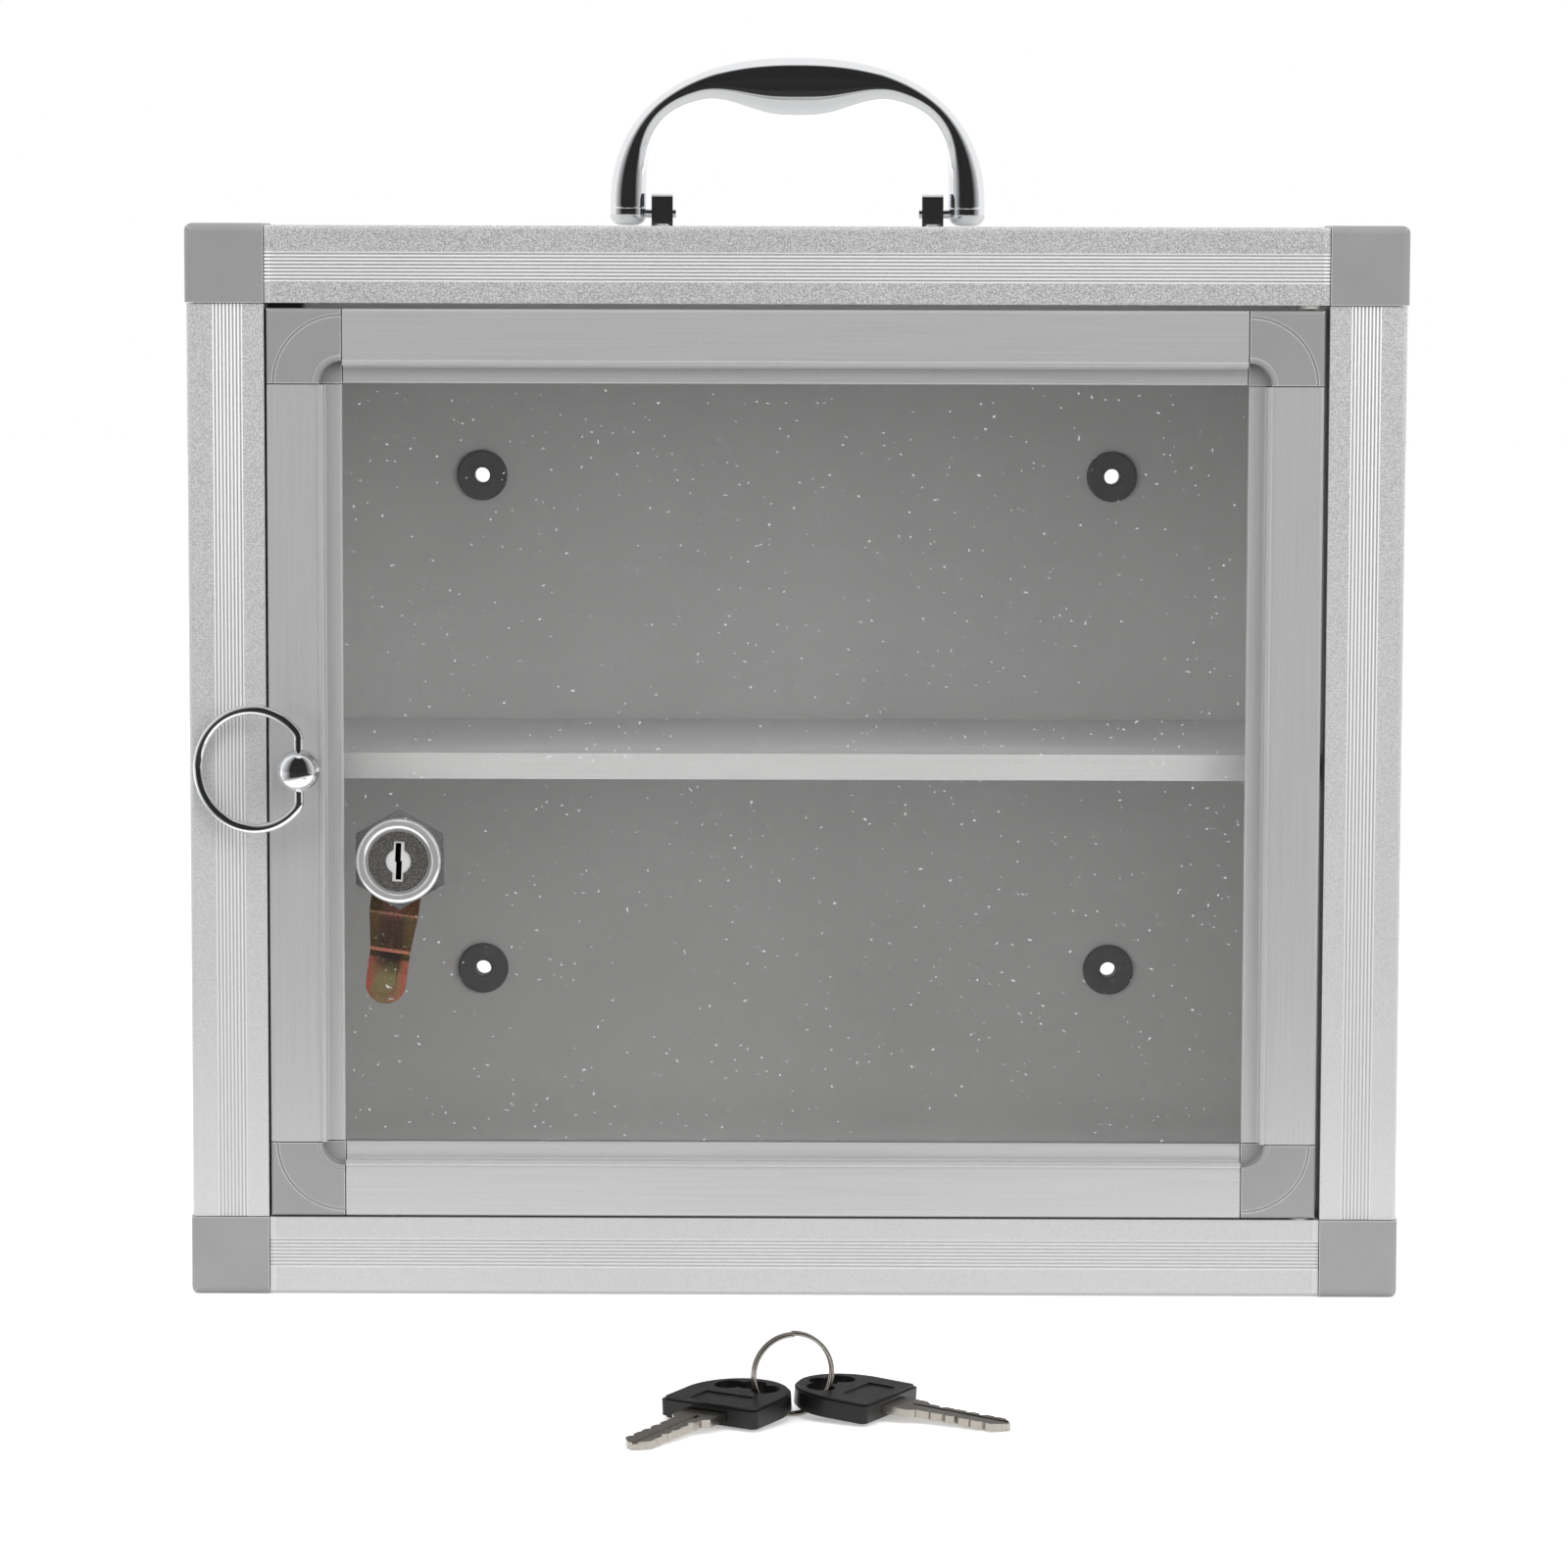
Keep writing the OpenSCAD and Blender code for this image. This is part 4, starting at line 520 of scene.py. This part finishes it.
# Painted shade along the cam: dark above the folds and in a band just under the lower fold
tone = add(tree, "ShaderNodeValToRGB", Fac=at.outputs[0])
coat_and_shade_ramp = tone.color_ramp
coat_and_shade_ramp.elements[0].position = 0.34
coat_and_shade_ramp.elements[0].color = linear("#8a6059")
coat_and_shade_ramp.elements[1].position = 0.95
coat_and_shade_ramp.elements[1].color = linear("#bc9f7e")
for stop, code in ((0.42, "#4a2c20"), (0.56, "#52381e"), (0.61, "#684630"), (0.635, "#342a24"),
                   (0.68, "#4c4036"), (0.74, "#90805e"), (0.81, "#c6b492")):
    coat_and_shade_ramp.elements.new(stop).color = linear(code)
on_blade = add(tree, "ShaderNodeMath", {"operation": "LESS_THAN"}, i0=axes.outputs[2], i1=blade_z)
# Painted highlight along the edges, over the pink of the coat
rim_highlight_tone = add(tree, "ShaderNodeMix", {"data_type": "RGBA"}, i0=on_blade.outputs[0],
               i6=linear("#745c34"), i7=linear("#ea8878"))
rim = add(tree, "ShaderNodeMapRange", i0=across.outputs[0], i1=rim_from_x, i2=rim_to_x, i4=0.9)
rimmed = add(tree, "ShaderNodeMix", {"data_type": "RGBA"}, i0=rim.outputs[0],
             i6=tone.outputs["Color"], i7=rim_highlight_tone.outputs[2])
# Painted highlights on the upper bend and the lower fold
bend = add(tree, "ShaderNodeMath", {"operation": "COMPARE"},
           i0=axes.outputs[2], i1=bend_z, i2=bend_half)
bend_part = add(tree, "ShaderNodeMath", {"operation": "MULTIPLY"}, i0=bend.outputs[0], i1=0.5)
bend_highlighted = add(tree, "ShaderNodeMix", {"data_type": "RGBA"}, i0=bend_part.outputs[0],
           i6=rimmed.outputs[2], i7=linear("#d8a08c"))
fold = add(tree, "ShaderNodeMath", {"operation": "COMPARE"},
           i0=axes.outputs[2], i1=fold_z, i2=fold_half)
folded = add(tree, "ShaderNodeMix", {"data_type": "RGBA"}, i0=fold.outputs[0],
             i6=bend_highlighted.outputs[2], i7=linear("#ffb096"))
rolled = add(tree, "ShaderNodeMapping", Vector=own.outputs[0], Scale=(1, 1, 0.3))
drift = add(tree, "ShaderNodeTexNoise", Vector=rolled.outputs[0], Scale=1 / tint_size, Detail=2.0)
tint = add(tree, "ShaderNodeValToRGB", Fac=drift.outputs["Fac"])
tint.color_ramp.elements[0].position = 0.42
tint.color_ramp.elements[0].color = linear("#bcd48c")
tint.color_ramp.elements[1].position = 0.58
tint.color_ramp.elements[1].color = linear("#f4a8b0")
stained = add(tree, "ShaderNodeMix", {"data_type": "RGBA", "blend_type": "MULTIPLY"}, i0=0.55,
              i6=folded.outputs[2], i7=tint.outputs["Color"])
scuff = add(tree, "ShaderNodeTexNoise", Vector=place, Scale=1 / scuff_size, Detail=2.0)
rough = add(tree, "ShaderNodeMapRange", i0=scuff.outputs["Fac"], i3=0.2, i4=0.34)
bump = add(tree, "ShaderNodeBump", Strength=0.05, Distance=0.03 * MM, Height=scuff.outputs["Fac"])
wire(tree, shader, Base_Color=stained.outputs[2], Roughness=rough.outputs[0],
     Normal=bump.outputs[0], Metallic=0.5)
dress(["lock_cam"], passivated, 0.2 * MM)


# Handle
# A die-cast arch with a finger belly, bright chromed, on two round feet whose studs turn in
# riveted brackets. The arch is the CAD one, drawn finer so that chrome stays smooth.
grip_low, grip_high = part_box("handle_grip")
grip_mid_y = (grip_low[1] + grip_high[1]) / 2
leg_width = 9.9 * MM
grip_a = grip_high[0]
grip_b = grip_high[2] - grip_low[2]
grip_power = 2.3
grip_in_a = grip_a - leg_width
grip_in_b = 30.7 * MM
grip_in_power = 4
grip_belly = 5.3 * MM
belly_reach = 41
leg_r = leg_width / 2
grip_swell = (grip_high[1] - grip_low[1]) / 2 - leg_r
along_steps = 180
round_steps = 64


def super_radius(angle, a, b, power):
    """The reach of a superellipse at an angle from its centre."""
    x = abs(math.cos(angle)) / a
    z = abs(math.sin(angle)) / b
    return (x ** power + z ** power) ** (-1 / power)


def smooth_piece(name, points, faces, material, node, body):
    """A smooth mesh that takes a CAD node's place on its body."""
    mesh = bpy.data.meshes.new(name)
    mesh.from_pydata(points, [], faces)
    mesh.shade_smooth()
    mesh.materials.append(material)
    piece = bpy.data.objects.new(name, mesh)
    scene.collection.objects.link(piece)
    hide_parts(node)
    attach(piece, body)


grip_points = []
grip_faces = []
for i in range(along_steps + 1):
    angle = math.pi * i / along_steps
    from_top = min(abs(math.degrees(angle) - 90) / belly_reach, 1)
    hump = 0.5 + 0.5 * math.cos(math.pi * from_top ** 2)
    outer = super_radius(angle, grip_a, grip_b, grip_power)
    inner = super_radius(angle, grip_in_a, grip_in_b, grip_in_power) - grip_belly * hump
    for j in range(round_steps):
        turn = 2 * math.pi * j / round_steps
        reach = (outer + inner) / 2 + (outer - inner) / 2 * math.cos(turn)
        grip_points.append((-reach * math.cos(angle),
                            grip_mid_y + (leg_r + grip_swell * hump) * math.sin(turn),
                            grip_low[2] + reach * math.sin(angle)))
for i in range(along_steps):
    for j in range(round_steps):
        k = (j + 1) % round_steps
        grip_faces.append((i * round_steps + k, (i + 1) * round_steps + k,
                           (i + 1) * round_steps + j, i * round_steps + j))
grip_faces.append(list(range(round_steps)))
grip_faces.append([along_steps * round_steps + j for j in range(round_steps)][::-1])
smooth_piece("smooth_grip", grip_points, grip_faces, chrome,
             "handle_grip", "handle")
dress(["handle_brackets"], chrome, 0.7 * MM)


# Keys
# Black moulded heads on nickel-plated brass blades, held together by a split ring of two turns
# of nickel-plated spring wire.
head_grain = 0.5 * MM

# ABS is black and glossy, with the fine skin of its mould
key_plastic, tree, shader, place = finish("black ABS, moulded")
skin = add(tree, "ShaderNodeTexNoise", Vector=place, Scale=1 / head_grain, Detail=2.0)
rough = add(tree, "ShaderNodeMapRange", i0=skin.outputs["Fac"], i3=0.26, i4=0.4)
bump = add(tree, "ShaderNodeBump", Strength=0.15, Distance=0.02 * MM, Height=skin.outputs["Fac"])
wire(tree, shader, Base_Color=linear("#131313"), Specular_IOR_Level=0.35,
     Roughness=rough.outputs[0], Normal=bump.outputs[0])
dress(["key_heads"], key_plastic, 0.25 * MM)

# Nickel is a warm grey metal, clouded by milling marks
mill_size = 0.5 * MM
nickel, tree, shader, place = finish("nickel plate on brass")
mill = add(tree, "ShaderNodeTexNoise", Vector=place, Scale=1 / mill_size, Detail=3.0)
tone = add(tree, "ShaderNodeValToRGB", Fac=mill.outputs["Fac"])
tone.color_ramp.elements[0].color = linear("#8e8880")
tone.color_ramp.elements[1].color = linear("#bfbab2")
rough = add(tree, "ShaderNodeMapRange", i0=mill.outputs["Fac"], i3=0.16, i4=0.32)
bump = add(tree, "ShaderNodeBump", Strength=0.15, Distance=0.03 * MM, Height=mill.outputs["Fac"])
wire(tree, shader, Base_Color=tone.outputs["Color"], Roughness=rough.outputs[0],
     Normal=bump.outputs[0], Metallic=1.0)
dress(["key_blades"], nickel, 0.08 * MM)

# The ring is the CAD one, drawn finer: two turns that climb along its axis by their pitch
ring_low, ring_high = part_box("split_ring")
ring_mid = [(ring_low[i] + ring_high[i]) / 2 for i in range(3)]
split_wire = 0.5 * MM
split_r = (ring_high[2] - ring_low[2]) / 2 - split_wire
split_pitch = 1.45 * MM
split_dir = math.radians(14)
coil_turns = 2
coil_steps = 160
coil_sides = 16
coil_points = []
coil_faces = []
for i in range(coil_steps + 1):
    turn = math.pi / 2 + 2 * math.pi * coil_turns * i / coil_steps
    for j in range(coil_sides):
        angle = 2 * math.pi * j / coil_sides
        reach = split_r + split_wire * math.cos(angle)
        x = reach * math.cos(turn)
        y = (2 * i / coil_steps - 1) * split_pitch + split_wire * math.sin(angle)
        coil_points.append((ring_mid[0] + x * math.cos(split_dir) - y * math.sin(split_dir),
                            ring_mid[1] + x * math.sin(split_dir) + y * math.cos(split_dir),
                            ring_mid[2] + reach * math.sin(turn)))
for i in range(coil_steps):
    for j in range(coil_sides):
        k = (j + 1) % coil_sides
        coil_faces.append((i * coil_sides + j, i * coil_sides + k,
                           (i + 1) * coil_sides + k, (i + 1) * coil_sides + j))
coil_faces.append(list(range(coil_sides))[::-1])
coil_faces.append([coil_steps * coil_sides + j for j in range(coil_sides)])
smooth_piece("smooth_split_ring", coil_points, coil_faces, nickel,
             "split_ring", "keys")


# Floor and white surround
# A white table top that the box and the keys stand on, under an even white surround.
floor_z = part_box("corner_front_bottom_left")[0][2]
floor_half = 6.0
floor_lift = 0.38
ambient = 0.84
pore_size = 2 * MM


def direct_rays(tree):
    """1 for rays from the camera or off gloss or through glass, 0 for those that carry light."""
    ray = add(tree, "ShaderNodeLightPath")
    direct = add(tree, "ShaderNodeMath", {"operation": "MAXIMUM"},
                 i0=ray.outputs["Is Camera Ray"], i1=ray.outputs["Is Glossy Ray"])
    direct = add(tree, "ShaderNodeMath", {"operation": "MAXIMUM"},
                 i0=direct.outputs[0], i1=ray.outputs["Is Transmission Ray"])
    return direct.outputs[0]


def stage_piece(name, points, faces, material):
    """A piece of the studio, not of the object."""
    mesh = bpy.data.meshes.new(name)
    mesh.from_pydata(points, [], faces)
    mesh.materials.append(material)
    piece = bpy.data.objects.new(name, mesh)
    scene.collection.objects.link(piece)
    return piece


# Matt laminate is plain white. A lift that lights nothing else brings it up to the surround.
floor_white, tree, shader, place = finish("white laminate")
pores = add(tree, "ShaderNodeTexNoise", Vector=place, Scale=1 / pore_size, Detail=2.0)
bump = add(tree, "ShaderNodeBump", Strength=0.02, Distance=0.02 * MM, Height=pores.outputs["Fac"])
lift = add(tree, "ShaderNodeMath", {"operation": "MULTIPLY"}, i0=direct_rays(tree), i1=floor_lift)
wire(tree, shader, Base_Color=linear("#f4f4f4"), Roughness=0.8, Normal=bump.outputs[0],
     Emission_Color=(1, 1, 1, 1), Emission_Strength=lift.outputs[0])
floor_corners = [(x * floor_half, y * floor_half, floor_z)
                 for x, y in ((-1, -1), (1, -1), (1, 1), (-1, 1))]
stage_piece("floor", floor_corners, [(0, 1, 2, 3)], floor_white)

world = bpy.data.worlds.new("studio")
scene.world = world
world.use_nodes = True
tree = world.node_tree
seen = tree.nodes["Background"]
wire(tree, seen, Color=(1, 1, 1, 1), Strength=1.0)
soft = add(tree, "ShaderNodeBackground", Color=(1, 1, 1, 1), Strength=ambient)
both = add(tree, "ShaderNodeMixShader", i0=direct_rays(tree), i1=soft.outputs[0],
           i2=seen.outputs[0])
wire(tree, tree.nodes["World Output"], Surface=both.outputs[0])


# Lamps
# Three soft boxes: one in front and above, one on each side. They give the shadows their shape
# and aren't mirrored.
aim = mathutils.Vector((0, -0.07, 0))


def soft_box(name, place, width, height, watts):
    """A rectangular soft box that stands at a place and points at the middle of the case."""
    lamp = bpy.data.objects.new(name, bpy.data.lights.new(name, "AREA"))
    lamp.data.shape = "RECTANGLE"
    lamp.data.size = width
    lamp.data.size_y = height
    lamp.data.energy = watts
    lamp.location = place
    way = aim - mathutils.Vector(place)
    lamp.rotation_euler = way.to_track_quat("-Z", "Y").to_euler()
    lamp.visible_glossy = False
    scene.collection.objects.link(lamp)


soft_box("overhead_box", (0, -1.1, 1.45), 1.6, 1.2, 9)
soft_box("left_box", (-1.1, -1.0, 0.35), 0.6, 1.0, 5)
soft_box("right_box", (1.1, -1.0, 0.35), 0.6, 1.0, 7)


# Dark studio
# Matt black cloth that gives chrome its dark bands: one strip over the table, which leaves it
# bare and white near the box, and one on a curved frame behind the camera. The camera and the
# shadows leave both out. Gloss and glass see both, and diffuse light the one on the table.
bare_r = 0.33
bare_fade_r = 0.43
cloth_r = 1.75
cloth_top = 7.0
cloth_fade_z = 5.0
cloth_low = floor_z + 0.5 * MM
cloth_from = math.radians(-175)
cloth_to = math.radians(-5)
side_from = math.radians(42)
side_to = math.radians(82)
cloth_steps = 28
nap_size = 40 * MM


def cloth(name, inner, outer):
    """A strip of cloth from one reach and height to another, all the way round the frame."""
    points = []
    for i in range(cloth_steps + 1):
        angle = cloth_from + (cloth_to - cloth_from) * i / cloth_steps
        for reach, z in (inner, outer):
            points.append((reach * math.cos(angle), reach * math.sin(angle), z))
    faces = [(2 * i, 2 * i + 1, 2 * i + 3, 2 * i + 2) for i in range(cloth_steps)]
    strip = stage_piece(name, points, faces, black_cotton)
    strip.visible_camera = False
    strip.visible_shadow = False
    strip.visible_volume_scatter = False
    return strip


# Cotton is matt and near black. Far to the sides, high up and by the bare table it gets paler,
# so that the bands in the chrome fade out. Seen from behind it is clear.
black_cotton, tree, shader, place = finish("matt black cotton")
nap = add(tree, "ShaderNodeTexNoise", Vector=place, Scale=1 / nap_size, Detail=2.0)
bump = add(tree, "ShaderNodeBump", Strength=0.1, Distance=1 * MM, Height=nap.outputs["Fac"])
ray = add(tree, "ShaderNodeLightPath")
gloss = add(tree, "ShaderNodeMath", {"operation": "MAXIMUM"}, i0=ray.outputs["Is Glossy Ray"],
            i1=ray.outputs["Is Transmission Ray"])
axes = add(tree, "ShaderNodeSeparateXYZ", i0=place)
ahead_y = add(tree, "ShaderNodeMath", {"operation": "MULTIPLY"}, i0=axes.outputs[1], i1=-1.0)
turn = add(tree, "ShaderNodeMath", {"operation": "ARCTAN2"},
           i0=axes.outputs[0], i1=ahead_y.outputs[0])
swing = add(tree, "ShaderNodeMath", {"operation": "ABSOLUTE"}, i0=turn.outputs[0])
sideways = add(tree, "ShaderNodeMapRange", i0=swing.outputs[0], i1=side_from, i2=side_to)
upwards = add(tree, "ShaderNodeMapRange", i0=axes.outputs[2], i1=cloth_fade_z, i2=cloth_top)
flat = add(tree, "ShaderNodeVectorMath", {"operation": "MULTIPLY"}, i0=place, i1=(1, 1, 0))
reach = add(tree, "ShaderNodeVectorMath", {"operation": "LENGTH"}, i0=flat.outputs[0])
inwards = add(tree, "ShaderNodeMapRange", i0=reach.outputs["Value"], i1=bare_fade_r, i2=bare_r)
paler = add(tree, "ShaderNodeMath", {"operation": "MAXIMUM"},
            i0=sideways.outputs[0], i1=upwards.outputs[0])
paler = add(tree, "ShaderNodeMath", {"operation": "MAXIMUM"},
            i0=paler.outputs[0], i1=inwards.outputs[0])
dyed = add(tree, "ShaderNodeMix", {"data_type": "RGBA"}, i0=paler.outputs[0],
           i6=linear("#323232"), i7=linear("#e8e8e8"))
tone = add(tree, "ShaderNodeMix", {"data_type": "RGBA"}, i0=gloss.outputs[0],
           i6=linear("#a4a4a4"), i7=dyed.outputs[2])
wire(tree, shader, Base_Color=tone.outputs[2], Roughness=1.0, Normal=bump.outputs[0],
     Specular_IOR_Level=0.0)
clear = add(tree, "ShaderNodeBsdfTransparent")
under = add(tree, "ShaderNodeNewGeometry").outputs["Backfacing"]
one_side = add(tree, "ShaderNodeMixShader", i0=under, i1=shader.outputs[0], i2=clear.outputs[0])
wire(tree, tree.nodes["Material Output"], Surface=one_side.outputs[0])
cloth("floor_cloth", (bare_r, cloth_low), (cloth_r, cloth_low))
back_cloth = cloth("back_cloth", (cloth_r, cloth_low), (cloth_r, cloth_top))
back_cloth.visible_diffuse = False

scene.view_settings.view_transform = "Standard"
